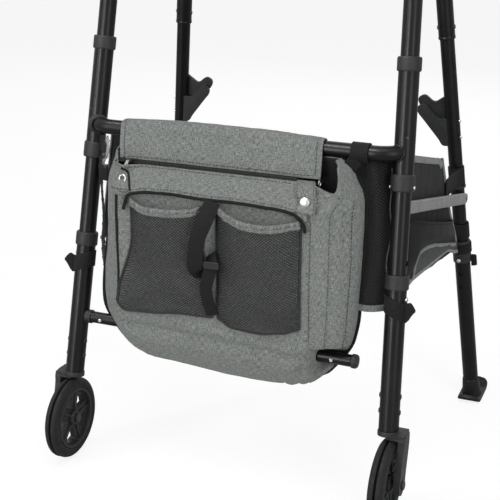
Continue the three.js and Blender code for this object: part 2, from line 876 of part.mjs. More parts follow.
// The pouch band runs round the rear post and forwards over the outer face of the pouch.
function addPouchBand(side, name, axis) {
  const low = band.rearUpperMiddle - band.rearUpperWidth / 2;
  const high = band.rearUpperMiddle + band.rearUpperWidth / 2;
  const bore = rearPostRadius + band.fit;
  const centre = pointOn(axis, band.rearUpperMiddle);
  const offset = side * (pouch.panelThickness / 2 + seatGap + band.tailThickness / 2);
  const tail = box(
    band.tailThickness, band.pouchTailLength, band.rearUpperWidth,
    offset, centre.y - band.pouchTailLength / 2, centre.z,
  );
  tail.applyMatrix4(pouchPlane(side));
  const ring = legCutter(axis, bore + band.thickness, low, high);
  const hole = legCutter(axis, bore, low - overrun, high + overrun);
  addMesh(`${name}_rear_upper_band`, cutAway(joined(ring, tail), hole), finish.webbingBlack);
}

// The glide is a cup on the tube with a flat sole that turns up at the heel and toe.
function addGlide(side, name, axis) {
  const foot = pointOn(axis, 0);
  const cup = legCutter(axis, glide.cupRadius, glide.cupBottom, glide.cupTop);
  const outline = [
    [-glide.toe, 0], [glide.heel, 0], [glide.heel + glide.thickness * 2, glide.tailRise],
    [glide.heel + glide.thickness, glide.tailRise + glide.thickness / 2],
    [glide.heel - glide.thickness, glide.thickness + glide.thickness / 2],
    [-glide.toe + glide.thickness, glide.thickness + glide.thickness / 2],
    [-glide.toe - glide.thickness, glide.toeRise + glide.thickness / 2], [-glide.toe - glide.thickness, glide.toeRise],
  ];
  const sole = slab(outline, glide.width);
  sole.rotateY(Math.PI / 2);
  sole.rotateX(Math.PI / 2);
  sole.translate(foot.x - glide.width / 2, foot.y, 0);
  const seat = legCutter(axis, rearTubeRadius + seatGap, rearTube.bottom - seatGap, rearTube.top);
  const plug = legCutter(axis, glide.plugRadius, glide.cupBottom, glide.plugTop);
  addMesh(`${name}_ski_glide`, joined(cutAway(joined(cup, sole), seat), plug), finish.plasticBlack);
}

// Side pouch: a panel between the posts, with an open pocket below the brace on its outer face.
const pouch = {
  panelThickness: 3,
  pocketDepth: 22,
  wall: 3,
  frontGap: 24,
  rearGap: 20,
  topFront: 508,
  topRear: 450,
  topRearAway: 98,
  waistRise: 14,
  waistAway: 62,
  foot: 282,
  pocketRearAway: 66,
  belowBraceFront: 26,
  belowBraceRear: 21,
  floor: 6,
};

// Heights on the pouch's edges, as shares of the height from its foot to the pocket's top.
const pouchCornerShare = 11 / 35;
const pouchFootFrontShare = 23 / 66;

// The pocket's top stays below the brace, and the pouch's foot and waist follow the pocket.
function pouchHeights() {
  const pocketTopFront = brace.frontHeight - pouch.belowBraceFront;
  const pocketTopRear = brace.rearHeight - pouch.belowBraceRear;
  return {
    pocketTopFront,
    pocketTopRear,
    waist: pocketTopRear + pouch.waistRise,
    corner: pouch.foot + (pocketTopRear - pouch.foot) * pouchCornerShare,
    footFront: pouch.foot + (pocketTopFront - pouch.foot) * pouchFootFrontShare,
  };
}

// The plane through the front axis and the rear axis at the pouch band. Across it is the local X.
function pouchPlane(side) {
  const front = legAxis(side, false);
  const rear = legAxis(side, true);
  const frontHang = pointOn(front, band.rearUpperMiddle);
  const rearHang = pointOn(rear, band.rearUpperMiddle);
  const perDepth = (rearHang.x - frontHang.x) / (rearHang.y - frontHang.y);
  const perHeight = (front.up.x - perDepth * front.up.y) / front.up.z;
  const shift = frontHang.x - perDepth * frontHang.y - perHeight * frontHang.z;
  return new THREE.Matrix4().set(
    1, perDepth, perHeight, shift,
    0, 1, 0, 0,
    0, 0, 1, 0,
    0, 0, 0, 1,
  );
}

function addPouch({ side, name }) {
  const front = legAxis(side, false);
  const rear = legAxis(side, true);
  const frontPoint = (height, gap) => [pointOn(front, height).y + gap, height];
  const rearPoint = (height, gap) => [pointOn(rear, height).y - gap, height];
  const { pocketTopFront, pocketTopRear, waist, corner, footFront } = pouchHeights();
  const panel = [
    frontPoint(footFront, pouch.frontGap), rearPoint(pouch.foot, pouch.rearGap),
    rearPoint(corner, pouch.rearGap), rearPoint(waist, pouch.waistAway),
    rearPoint(pouch.topRear, pouch.topRearAway), frontPoint(pouch.topFront, pouch.frontGap),
  ];
  const pocket = [
    frontPoint(footFront, pouch.frontGap), rearPoint(corner, pouch.pocketRearAway),
    rearPoint(pocketTopRear, pouch.pocketRearAway), frontPoint(pocketTopFront, pouch.frontGap),
  ];
  const inside = [
    frontPoint(footFront + pouch.floor, pouch.frontGap + pouch.wall),
    rearPoint(corner + pouch.floor, pouch.pocketRearAway + pouch.wall),
    rearPoint(pouch.topRear, pouch.pocketRearAway + pouch.wall),
    frontPoint(pouch.topFront, pouch.frontGap + pouch.wall),
  ];
  const upright = (points, depth, from) => {
    const geometry = slab(points, depth);
    geometry.rotateY(Math.PI / 2);
    geometry.rotateX(Math.PI / 2);
    return geometry.translate(from, 0, 0);
  };
  const inner = -pouch.panelThickness / 2;
  const backPanel = upright(panel, pouch.panelThickness, inner);
  const block = upright(pocket, pouch.pocketDepth, inner);
  const hollow = upright(inside, pouch.pocketDepth - pouch.panelThickness - pouch.wall, inner + pouch.panelThickness);
  const shell = joined(backPanel, cutAway(block, hollow));
  if (side < 0) mirrorX(shell);
  shell.applyMatrix4(pouchPlane(side));
  addMesh(`${name}_side_pouch`, shell, finish.pouchBlack);
}

function mirrorX(geometry) {
  const position = geometry.attributes.position;
  for (let i = 0; i < position.count; i += 1) position.setX(i, -position.getX(i));
  const index = geometry.index.array;
  for (let i = 0; i < index.length; i += 3) {
    const swap = index[i];
    index[i] = index[i + 1];
    index[i + 1] = swap;
  }
  return geometry;
}

// Bag: an open-topped tub between the crossbar and the lower bar, lofted through level sections.
const bag = {
  centre: -12,
  wall: 3,
  rearHalf: 207,
  frontHalf: 145,
  bottom: 186,
  rim: 479,
  rearTopY: -27,
  rearFootY: -49,
  panelY: -98,
  rimFrontY: -64,
  footFrontY: -66,
  cornerSteps: 3,
  seamInset: 5,
};

// Sections from the foot to the rim: height, rear half width, front half width and front bulge.
const bagSectionShares = [
  { rise: 0, rear: 0.6, front: 0.62, bulge: 0 },
  { rise: 0.05, rear: 0.82, front: 0.86, bulge: 0.5 },
  { rise: 0.13, rear: 0.95, front: 0.97, bulge: 0.85 },
  { rise: 0.235, rear: 1, front: 1, bulge: 1 },
  { rise: 0.77, rear: 1, front: 1, bulge: 1 },
  { rise: 0.894, rear: 0.97, front: 1, bulge: 1 },
  { rise: 1, rear: 0.9, front: 1, bulge: 0 },
];

function bagRearY(height) {
  const rise = (height - bag.bottom) / (bag.rim - bag.bottom);
  return bag.rearFootY + (bag.rearTopY - bag.rearFootY) * rise;
}

// One level section: two mirrored sides, each a quarter oval from the rear edge to the front panel.
function bagSection(height, shares, inset) {
  const rear = bag.rearHalf * shares.rear - inset;
  const near = bag.frontHalf * shares.front - (inset > 0 ? bag.seamInset : 0);
  const baseY = shares.rise < 0.5 ? bag.footFrontY : bag.rimFrontY;
  const frontY = baseY + (bag.panelY - baseY) * shares.bulge + inset;
  const rearY = bagRearY(height) - inset;
  const right = [];
  for (let i = 0; i <= bag.cornerSteps; i += 1) {
    const angle = (Math.PI / 2) * (i / bag.cornerSteps);
    right.push([near + (rear - near) * Math.cos(angle), rearY - (rearY - frontY) * Math.sin(angle)]);
  }
  const left = right.map(([across, away]) => [-across, away]).reverse();
  return [...right, ...left].map(([across, away]) => new THREE.Vector3(bag.centre + across, away, height));
}

// A closed skin over level sections that all have the same number of points.
function loft(sections) {
  const count = sections[0].length;
  const positions = sections.flat().flatMap((point) => [point.x, point.y, point.z]);
  const indices = [];
  for (let level = 0; level < sections.length - 1; level += 1) {
    for (let i = 0; i < count; i += 1) {
      const low = level * count + i;
      const lowNext = level * count + ((i + 1) % count);
      indices.push(low, low + count, lowNext, lowNext, low + count, lowNext + count);
    }
  }
  const top = (sections.length - 1) * count;
  for (let i = 1; i < count - 1; i += 1) {
    indices.push(0, i, i + 1, top, top + i + 1, top + i);
  }
  const geometry = new THREE.BufferGeometry();
  geometry.setAttribute('position', new THREE.BufferAttribute(new Float32Array(positions), 3));
  geometry.setIndex(indices);
  return geometry;
}

function bagSkin(inset, rimLift) {
  const tall = bag.rim - bag.bottom;
  return loft(bagSectionShares.map((shares, level) => {
    const isRim = level === bagSectionShares.length - 1;
    const lift = level === 0 ? inset : 0;
    return bagSection(bag.bottom + tall * shares.rise + lift + (isRim ? rimLift : 0), shares, inset);
  }));
}

function addBag() {
  const root = lowerBarAxis();
  const tunnel = rod(lowerBar.radius + 2 * slidingGap, -2 * frontHalfSpan, 2 * frontHalfSpan);
  tunnel.rotateY(Math.PI / 2);
  tunnel.translate(0, root.y, root.z);
  addMesh('bag_body', cutAway(bagSkin(0, 0), bagSkin(bag.wall, bag.wall), tunnel), finish.fabricGrey);
}

// Flap: the bag's rear cloth laid over the crossbar and down in front of it.
const flap = {
  left: -177,
  right: 134,
  thickness: 3,
  frontFootY: -50,
  frontFoot: 483,
  rearFootY: -27,
  arcSteps: 8,
};

// Where a straight drop to a foot leaves a circle: its angle, and the drop's length.
function tangentDrop(footAcross, footUp, radius, turn) {
  const reach = Math.hypot(footAcross, footUp);
  return {
    angle: Math.atan2(footUp, footAcross) + turn * Math.acos(radius / reach),
    length: Math.sqrt(reach ** 2 - radius ** 2),
  };
}

function addFlap() {
  const inner = crossbar.radius + slidingGap;
  const outer = inner + flap.thickness;
  const centreY = -crossbar.forward;
  const rearFoot = bag.rim + seatGap + flap.thickness / 2;
  const rearDrop = tangentDrop(flap.rearFootY - centreY, rearFoot - crossbarHeight, inner, 1);
  const frontDrop = tangentDrop(flap.frontFootY - centreY, flap.frontFoot - crossbarHeight, inner, -1);
  const sweep = frontDrop.angle + 2 * Math.PI - rearDrop.angle;
  const at = (radius, angle, along = 0) => [
    centreY + radius * Math.cos(angle) - along * Math.sin(angle),
    crossbarHeight + radius * Math.sin(angle) + along * Math.cos(angle),
  ];
  const arc = (radius) => Array.from({ length: flap.arcSteps + 1 }, (_, i) => {
    return at(radius, rearDrop.angle + (sweep * i) / flap.arcSteps);
  });
  const outline = [
    at(outer, rearDrop.angle, -rearDrop.length), ...arc(outer), at(outer, frontDrop.angle, frontDrop.length),
    at(inner, frontDrop.angle, frontDrop.length), ...arc(inner).reverse(),
    at(inner, rearDrop.angle, -rearDrop.length),
  ];
  const sheet = slab(outline, flap.right - flap.left);
  sheet.rotateX(Math.PI / 2);
  sheet.rotateZ(Math.PI / 2);
  sheet.translate(flap.left, 0, 0);
  addMesh('bag_flap', sheet, finish.fabricGrey);
}

// Mesh pockets: open-topped nets bowed out from the bag's front panel.
const leftPocket = {
  centre: -76,
  halfWidth: 55,
  bottom: 262,
  top: 434,
  bulge: 22,
};

const rightPocket = {
  centre: 63,
  halfWidth: 61,
  bottom: 260,
  top: 438,
  bulge: 26,
};

const netPockets = [
  { name: 'left_mesh_pocket', ...leftPocket },
  { name: 'right_mesh_pocket', ...rightPocket },
];

const net = {
  thickness: 2,
  arcSteps: 8,
};

function bowedOutline(halfWidth, bulge) {
  return Array.from({ length: net.arcSteps + 1 }, (_, i) => {
    const angle = (Math.PI * i) / net.arcSteps;
    return [halfWidth * Math.cos(angle), -bulge * Math.sin(angle)];
  });
}

function addNetPocket({ name, centre, halfWidth, bottom, top, bulge }) {
  const outer = slab(bowedOutline(halfWidth, bulge), top - bottom);
  const inner = slab(
    [[halfWidth - net.thickness, overrun], ...bowedOutline(halfWidth - net.thickness, bulge - net.thickness),
      [net.thickness - halfWidth, overrun]],
    top - bottom,
  );
  inner.translate(0, 0, net.thickness);
  const wall = cutAway(outer, inner);
  wall.translate(centre, bag.panelY - seatGap, bottom);
  addMesh(name, wall, finish.meshBlack);
}

// Right net wing: a net strip that fills the space between the bag's rear edge and the right leg.
const wing = {
  thickness: 2,
  behind: 4,
  legGap: 18,
  bottom: 302,
};

function addNetWing() {
  const axis = legAxis(1, false);
  const tall = bag.rim - bag.bottom;
  const edge = bagSectionShares.slice(3).map(({ rise, rear }) => {
    const height = Math.max(bag.bottom + tall * rise, wing.bottom);
    return [bag.centre + bag.rearHalf * rear + slidingGap, height];
  });
  const legEdge = [bag.rim, wing.bottom].map((height) => [pointOn(axis, height).x - wing.legGap, height]);
  const sheet = slab([...edge, ...legEdge], wing.thickness);
  sheet.rotateX(Math.PI / 2);
  const lean = axis.up.y / axis.up.z;
  const shift = -crossbarHeight * lean - wing.behind + wing.thickness / 2;
  sheet.applyMatrix4(new THREE.Matrix4().set(
    1, 0, 0, 0,
    0, 1, lean, shift,
    0, 0, 1, 0,
    0, 0, 0, 1,
  ));
  addMesh('right_net_wing', sheet, finish.meshBlack);
}

// Bag link: a short webbing tab from the bag's left edge to the left post.
const link = {
  middle: 447,
  width: 20,
  thickness: 2.5,
};

function addBagLink() {
  const axis = legAxis(-1, false);
  const from = pointOn(axis, link.middle);
  const shares = bagSectionShares[bagSectionShares.length - 2];
  const to = new THREE.Vector3(
    bag.centre - bag.rearHalf * shares.rear - seatGap - link.thickness,
    bagRearY(link.middle), link.middle,
  );
  const way = to.clone().sub(from);
  const length = Math.hypot(way.x, way.y);
  const tab = box(length, link.thickness, link.width, length / 2, 0, 0);
  tab.rotateZ(Math.atan2(way.y, way.x));
  tab.translate(from.x, from.y, from.z);
  const room = legCutter(axis, postRadius + slidingGap, link.middle - overrun, link.middle + overrun);
  addMesh('left_bag_link', cutAway(tab, room), finish.webbingBlack);
}

// Crossbar webbing: the loop that holds the bag's right corner up.
const barLoop = {
  left: 167,
  right: 197,
};

function addBarLoop() {
  const bore = crossbar.radius + slidingGap;
  const loop = pipe(bore + band.thickness, bore, barLoop.left, barLoop.right);
  loop.rotateY(Math.PI / 2);
  loop.translate(0, -crossbar.forward, crossbarHeight);
  addMesh('crossbar_webbing', loop, finish.webbingBlack);
}

// Zip slider: it runs along the rim of the bag's front, with its pull lying down the slope.
const slider = {
  start: -150,
  length: 10,
  width: 6,
  height: 5,
  pullLength: 17,
  pullWidth: 5,
  pullThickness: 1.5,
};

function addSlider() {
  const baseZ = bag.rim + seatGap;
  const middleY = bag.rimFrontY + bag.wall / 2;
  const body = box(slider.length, slider.width, slider.height, slider.start, middleY, baseZ + slider.height / 2);
  const lastSlope = bagSectionShares[bagSectionShares.length - 2];
  const drop = (bag.rim - bag.bottom) * (1 - lastSlope.rise);
  const slope = Math.atan2(drop, bag.rimFrontY - bag.panelY);
  const pull = box(slider.pullWidth, slider.pullLength, slider.pullThickness, 0, -slider.pullLength / 2, 0);
  pull.rotateX(slope);
  pull.translate(slider.start, middleY, baseZ + slider.height - slider.pullThickness);
  addMesh('zip_slider', joined(body, pull), finish.steelBright);
}

addCrossbar();
for (const each of sides) {
  addSleeve(each);
  addFrontTube(each);
  addFrontBand(each);
  addWheelArm(each);
  addWheel(each);
  addSideFrame(each);
  addBrace(each);
  addClip(each);
  addRearLeg(each);
  addPouch(each);
}
addLowerBar();
addBag();
addFlap();
netPockets.forEach(addNetPocket);
addNetWing();
addBagLink();
addBarLoop();
addSlider();

// The origin is on the floor, under the middle of the whole walker.
walker.updateMatrixWorld(true);
const bounds = new THREE.Box3().setFromObject(walker);
const middle = bounds.getCenter(new THREE.Vector3());
walker.position.set(-middle.x, -middle.y, -bounds.min.z);
walker.updateMatrixWorld(true);

export default walker;
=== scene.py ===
import json
from math import acos, atan2, cos, degrees as inDegrees, exp, hypot, pi, radians, sin, sqrt, tan

import bmesh
import bpy
from mathutils import Matrix, Vector, noise

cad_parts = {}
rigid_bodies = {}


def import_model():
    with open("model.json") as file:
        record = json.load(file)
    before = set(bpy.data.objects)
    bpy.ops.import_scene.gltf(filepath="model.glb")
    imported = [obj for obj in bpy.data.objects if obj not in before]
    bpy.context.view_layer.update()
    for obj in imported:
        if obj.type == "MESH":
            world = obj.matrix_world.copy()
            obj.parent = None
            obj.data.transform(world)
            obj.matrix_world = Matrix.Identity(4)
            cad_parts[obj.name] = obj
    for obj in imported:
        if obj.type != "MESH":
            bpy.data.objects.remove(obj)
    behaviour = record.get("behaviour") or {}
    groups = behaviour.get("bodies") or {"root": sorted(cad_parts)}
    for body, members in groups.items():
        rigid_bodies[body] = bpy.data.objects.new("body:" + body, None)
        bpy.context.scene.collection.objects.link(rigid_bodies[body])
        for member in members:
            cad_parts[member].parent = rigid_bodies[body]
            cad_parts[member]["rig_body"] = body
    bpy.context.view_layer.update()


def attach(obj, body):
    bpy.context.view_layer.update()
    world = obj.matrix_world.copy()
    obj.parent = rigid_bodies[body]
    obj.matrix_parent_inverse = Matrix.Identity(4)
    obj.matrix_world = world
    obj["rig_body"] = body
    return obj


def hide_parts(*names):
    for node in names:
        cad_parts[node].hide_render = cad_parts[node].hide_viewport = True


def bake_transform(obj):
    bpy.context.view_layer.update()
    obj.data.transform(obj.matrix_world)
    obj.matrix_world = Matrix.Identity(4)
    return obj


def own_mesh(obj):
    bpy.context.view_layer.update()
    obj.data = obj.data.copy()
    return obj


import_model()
scene = bpy.context.scene
print("frame loaded")


# camera, lights and floor
shot = {
    "place": (0.6034, -1.5633, 0.9074),
    "turn": 22.29,  # degrees round from straight in front
    "down": 19.76,
    "lens": 81.24,
}
studio = {
    "floorTone": 0.86,  # grey of the matt floor
    "floorGlow": 1.18,  # strength of its glow
    "ambient": 0.34,
    "floorSize": 12.0,
    "floorKeeps": 0.3,  # how much of its own shading the floor keeps for the camera
    "lamps": {
        # place, aimed at, width, height, watts, and whether it lights matt surfaces too
        "leftStrip": ((-1.9, -2.3, 1.3), (0.0, 0.0, 0.4), 0.3, 2.6, 26, True),
        "topBox": ((0.2, -0.9, 2.6), (0.0, 0.0, 0.4), 2.0, 1.4, 20, True),
        "rightBox": ((2.3, -1.9, 1.1), (0.0, 0.0, 0.4), 1.0, 2.0, 26, True),
        "backBox": ((-0.4, 2.6, 1.6), (0.0, 0.0, 0.4), 2.4, 1.4, 12, True),
        "postGlint": ((-1.25, -4.1, 0.7), (0.0, 0.0, 0.5), 0.6, 3.0, 150, False),
        "barGlint": ((-0.6, -0.95, 2.4), (0.15, -0.14, 0.517), 1.8, 0.3, 60, False),
    },
}


def aimAt(obj, target):
    way = Vector(target) - obj.location
    obj.rotation_euler = way.to_track_quat("-Z", "Y").to_euler()


def addCamera():
    data = bpy.data.cameras.new("photoCamera")
    data.sensor_width = 36
    data.lens = shot["lens"]
    camera = bpy.data.objects.new("photoCamera", data)
    camera.location = shot["place"]
    camera.rotation_euler = (radians(90 - shot["down"]), 0, radians(shot["turn"]))
    scene.collection.objects.link(camera)
    scene.camera = camera


def makeNode(tree, kind, inputs=None, **settings):
    made = tree.nodes.new("ShaderNode" + kind)
    for key, value in settings.items():
        setattr(made, key, value)
    for key, value in (inputs or {}).items():
        socket = made.inputs[key]
        if isinstance(value, bpy.types.NodeSocket):
            tree.links.new(value, socket)
        else:
            socket.default_value = value
    return made


def seenDirectly(tree, mirrored):
    rays = makeNode(tree, "LightPath")
    glossy = rays.outputs["Is Glossy Ray"] if mirrored else 0.0
    first = makeNode(tree, "Math", {0: rays.outputs["Is Camera Ray"], 1: glossy}, operation="MAXIMUM")
    return makeNode(tree, "Math", {0: first.outputs[0], 1: rays.outputs["Is Transmission Ray"]},
            operation="MAXIMUM").outputs[0]


def addWorld():
    world = bpy.data.worlds.new("whiteStudio")
    world.use_nodes = True
    scene.world = world
    tree = world.node_tree
    tree.nodes.clear()
    dim = makeNode(tree, "Background", {"Color": (1, 1, 1, 1), "Strength": studio["ambient"]})
    white = makeNode(tree, "Background", {"Color": (1, 1, 1, 1), "Strength": 1.0})
    mix = makeNode(tree, "MixShader", {0: seenDirectly(tree, True), 1: dim.outputs[0], 2: white.outputs[0]})
    makeNode(tree, "OutputWorld", {"Surface": mix.outputs[0]})


def addFloor():
    half = studio["floorSize"] / 2
    mesh = bpy.data.meshes.new("studioFloor")
    mesh.from_pydata([(-half, -half, 0), (half, -half, 0), (half, half, 0), (-half, half, 0)], [],
            [(0, 1, 2, 3)])
    floor = bpy.data.objects.new("studioFloor", mesh)
    scene.collection.objects.link(floor)
    material = bpy.data.materials.new("paleFloor")
    material.use_nodes = True
    tree = material.node_tree
    tree.nodes.clear()
    matt = makeNode(tree, "BsdfDiffuse", {"Color": (studio["floorTone"],) * 3 + (1,)})
    glow = makeNode(tree, "Emission", {"Color": (1, 1, 1, 1), "Strength": studio["floorGlow"]})
    share = makeNode(tree, "Math", {0: seenDirectly(tree, False), 1: 1 - studio["floorKeeps"]},
            operation="MULTIPLY")
    mix = makeNode(tree, "MixShader", {0: share.outputs[0], 1: matt.outputs[0], 2: glow.outputs[0]})
    makeNode(tree, "OutputMaterial", {"Surface": mix.outputs[0]})
    mesh.materials.append(material)


def addLamps():
    for name, (place, target, width, height, watts, matt) in studio["lamps"].items():
        data = bpy.data.lights.new(name, "AREA")
        data.shape = "RECTANGLE"
        data.size = width
        data.size_y = height
        data.energy = watts
        lamp = bpy.data.objects.new(name, data)
        lamp.location = place
        lamp.visible_diffuse = matt
        lamp.visible_camera = False
        scene.collection.objects.link(lamp)
        aimAt(lamp, target)


addCamera()
addWorld()
addFloor()
addLamps()
scene.view_settings.view_transform = "Standard"
print("camera, lights and floor set")


# finishes
def newFinish(name):
    material = bpy.data.materials.new(name)
    material.use_nodes = True
    tree = material.node_tree
    shader = tree.nodes["Principled BSDF"]
    return material, tree, shader


def inPlace(tree):
    return makeNode(tree, "TexCoord").outputs["Object"]


def alongCloth(tree, across=1.0, up=1.0):
    # metres along the cloth, stretched by the two factors
    source = makeNode(tree, "UVMap", uv_map="cloth").outputs[0]
    return makeNode(tree, "Mapping", {"Vector": source, "Scale": (across, up, 1.0)}).outputs[0]


def grey(value):
    return (value, value, value, 1)


def noiseAt(tree, vector, scale, detail=2.0, rough=0.5):
    found = makeNode(tree, "TexNoise", {"Vector": vector, "Scale": scale, "Detail": detail,
            "Roughness": rough})
    return found.outputs["Fac"]


def between(tree, source, low, high):
    ranged = makeNode(tree, "MapRange", {"Value": source, "From Min": 0.3, "From Max": 0.7,
            "To Min": low, "To Max": high})
    return ranged.outputs[0]


def blended(tree, share, first, second):
    mix = makeNode(tree, "Mix", {0: share, 6: first, 7: second}, data_type="RGBA")
    return mix.outputs[2]


def bumped(tree, shader, height, strength, distance):
    bump = makeNode(tree, "Bump", {"Height": height, "Strength": strength, "Distance": distance})
    tree.links.new(bump.outputs[0], shader.inputs["Normal"])


# Hard finishes: two shades that wander, a roughness that wanders, and a fine skin.
hardFinishes = {
    "blackCoat": {"dark": (0.0042, 0.0044, 0.0043, 1), "light": (0.0078, 0.0082, 0.008, 1), "patch": 14.0,
        "rough": (0.27, 0.35), "metal": 0.0, "shine": 0.17, "skin": 900.0, "skinDepth": 0.03},
    "glideBlack": {"dark": (0.006, 0.0062, 0.0061, 1), "light": (0.0115, 0.012, 0.0117, 1), "patch": 30.0,
        "rough": (0.42, 0.56), "metal": 0.0, "shine": 0.18, "skin": 2600.0, "skinDepth": 0.12},
    "mouldedBlack": {"dark": (0.019, 0.020, 0.0195, 1), "light": (0.030, 0.0315, 0.031, 1), "patch": 30.0,
        "rough": (0.46, 0.6), "metal": 0.0, "shine": 0.2, "skin": 2600.0, "skinDepth": 0.16},
    "braceCoat": {"dark": (0.17, 0.176, 0.171, 1), "light": (0.225, 0.23, 0.225, 1), "patch": 22.0,
        "rough": (0.4, 0.55), "metal": 0.2, "shine": 0.4, "skin": 1400.0, "skinDepth": 0.08},
    "platedSteel": {"dark": (0.4, 0.4, 0.395, 1), "light": (0.62, 0.62, 0.61, 1), "patch": 90.0,
        "rough": (0.24, 0.42), "metal": 1.0, "shine": 0.5, "skin": 600.0, "skinDepth": 0.04},
    "tyreRubber": {"dark": (0.010, 0.010, 0.010, 1), "light": (0.021, 0.021, 0.0205, 1), "patch": 40.0,
        "rough": (0.6, 0.8), "metal": 0.0, "shine": 0.18, "skin": 1800.0, "skinDepth": 0.22},
    "gripFoam": {"dark": (0.011, 0.011, 0.0115, 1), "light": (0.02, 0.02, 0.0205, 1), "patch": 60.0,
        "rough": (0.82, 0.95), "metal": 0.0, "shine": 0.2, "skin": 3200.0, "skinDepth": 0.45},
}


def makeHardFinish(name, look):
    material, tree, shader = newFinish(name)
    where = inPlace(tree)
    cloud = noiseAt(tree, where, look["patch"], 5.0, 0.6)
    tree.links.new(blended(tree, between(tree, cloud, 0, 1), look["dark"], look["light"]),
            shader.inputs["Base Color"])
    smear = noiseAt(tree, where, look["patch"] * 3, 3.0)
    tree.links.new(between(tree, smear, *look["rough"]), shader.inputs["Roughness"])
    shader.inputs["Metallic"].default_value = look["metal"]
    shader.inputs["Specular IOR Level"].default_value = look["shine"]
    bumped(tree, shader, noiseAt(tree, where, look["skin"], 2.0), look["skinDepth"], 0.0004)
    return material


# Woven cloths: light and dark yarns run both ways as streaks, over a plain weave.
clothFinishes = {
    "greyMelange": {"dark": (0.088, 0.096, 0.091, 1), "light": (0.345, 0.366, 0.347, 1), "yarn": 0.00095,
        "streak": 7.0, "rough": 0.93, "weave": 0.35, "sheen": 0.08, "shine": 0.2},
    # a darker copy of the grey melange: painted shade for cloth lying under the pocket's arch
    "paintedShadeMelange": {"dark": (0.028, 0.030, 0.029, 1), "light": (0.112, 0.118, 0.113, 1), "yarn": 0.00095,
        "streak": 7.0, "rough": 0.93, "weave": 0.35, "sheen": 0.03, "shine": 0.15},
    "blackNylon": {"dark": (0.0065, 0.0065, 0.0068, 1), "light": (0.0145, 0.015, 0.0148, 1), "yarn": 0.0009,
        "streak": 3.0, "rough": 0.7, "weave": 0.3, "sheen": 0.015, "shine": 0.14},
    "blackWebbing": {"dark": (0.0055, 0.0055, 0.0056, 1), "light": (0.016, 0.016, 0.0158, 1),
        "yarn": 0.0016,
        "streak": 2.2, "rough": 0.8, "weave": 0.8, "sheen": 0.02, "shine": 0.14},
}


def makeClothFinish(name, look):
    material, tree, shader = newFinish(name)
    perMetre = 1 / look["yarn"]
    level = noiseAt(tree, alongCloth(tree, perMetre / look["streak"], perMetre), 1.0, 1.5)
    upright = noiseAt(tree, alongCloth(tree, perMetre, perMetre / look["streak"]), 1.0, 1.5)
    both = makeNode(tree, "Math", {0: level, 1: upright}, operation="ADD")
    half = makeNode(tree, "Math", {0: both.outputs[0], 1: 0.5}, operation="MULTIPLY").outputs[0]
    cloud = noiseAt(tree, alongCloth(tree, 26, 26), 1.0, 3.0)
    shade = makeNode(tree, "MapRange", {"Value": half, "From Min": 0.36, "From Max": 0.66}).outputs[0]
    drift = between(tree, cloud, -0.04, 0.04)
    mixed = makeNode(tree, "Math", {0: shade, 1: drift}, operation="ADD", use_clamp=True).outputs[0]
    tree.links.new(blended(tree, mixed, look["dark"], look["light"]), shader.inputs["Base Color"])
    across = makeNode(tree, "TexWave", {"Vector": alongCloth(tree, perMetre / 2, 0), "Scale": 0.31},
            wave_type="BANDS", bands_direction="X").outputs["Fac"]
    down = makeNode(tree, "TexWave", {"Vector": alongCloth(tree, 0, perMetre / 2), "Scale": 0.31},
            wave_type="BANDS", bands_direction="Y").outputs["Fac"]
    grid = makeNode(tree, "Math", {0: across, 1: down}, operation="MULTIPLY").outputs[0]
    height = makeNode(tree, "Math", {0: grid, 1: half}, operation="ADD").outputs[0]
    shader.inputs["Roughness"].default_value = look["rough"]
    shader.inputs["Specular IOR Level"].default_value = look["shine"]
    shader.inputs["Sheen Weight"].default_value = look["sheen"]
    shader.inputs["Sheen Roughness"].default_value = 0.5
    bumped(tree, shader, height, look["weave"], 0.0006)
    return material


def makeThreadFinish(name, dark, light):
    material, tree, shader = newFinish(name)
    twist = noiseAt(tree, inPlace(tree), 1100.0, 2.0)
    tree.links.new(blended(tree, between(tree, twist, 0, 1), grey(dark), grey(light)),
            shader.inputs["Base Color"])
    shader.inputs["Roughness"].default_value = 0.78
    shader.inputs["Specular IOR Level"].default_value = 0.25
    bumped(tree, shader, twist, 0.2, 0.0003)
    return material


finishes = {name: makeHardFinish(name, look) for name, look in hardFinishes.items()}
finishes.update({name: makeClothFinish(name, look) for name, look in clothFinishes.items()})
finishes["netYarn"] = makeThreadFinish("netYarn", 0.014, 0.04)
finishes["darkStitch"] = makeThreadFinish("darkStitch", 0.035, 0.08)
finishes["dullPin"] = makeHardFinish("dullPin", dict(hardFinishes["platedSteel"], dark=grey(0.02),
        light=grey(0.05), metal=0.6))
print("finishes made")


# shaping tools: a form is a pair of points and faces
def turnedForm(profile, segments=48):
    points, faces, rings = [], [], []
    for radius, height in profile:
        if radius < 1e-6:
            rings.append([len(points)] * segments)
            points.append(Vector((0, 0, height)))
            continue
        rings.append(list(range(len(points), len(points) + segments)))
        for i in range(segments):
            angle = 2 * pi * i / segments
            points.append(Vector((radius * cos(angle), radius * sin(angle), height)))
    pairs = list(zip(rings, rings[1:]))
    if profile[0][0] > 1e-6:
        pairs.append((rings[-1], rings[0]))
    for low, high in pairs:
        for i in range(segments):
            j = (i + 1) % segments
            face = list(dict.fromkeys((low[i], low[j], high[j], high[i])))
            if len(face) > 2:
                faces.append(face)
    return points, faces


def rodForm(radius, half, segments):
    return turnedForm([(0, -half), (radius, -half), (radius, half), (0, half)], segments)


def softened(outline, amount, closed=True, steps=3):
    # rounds each corner of an outline
    result = []
    count = len(outline)
    for i, corner in enumerate(outline):
        here = Vector(corner)
        if not closed and i in (0, count - 1):
            result.append(here)
            continue
        before = Vector(outline[i - 1]) - here
        after = Vector(outline[(i + 1) % count]) - here
        start = here + before.normalized() * min(amount, 0.45 * before.length)
        end = here + after.normalized() * min(amount, 0.45 * after.length)
        for k in range(steps + 1):
            t = k / steps
            result.append(start * (1 - t) ** 2 + here * (2 * t * (1 - t)) + end * t ** 2)
    return result


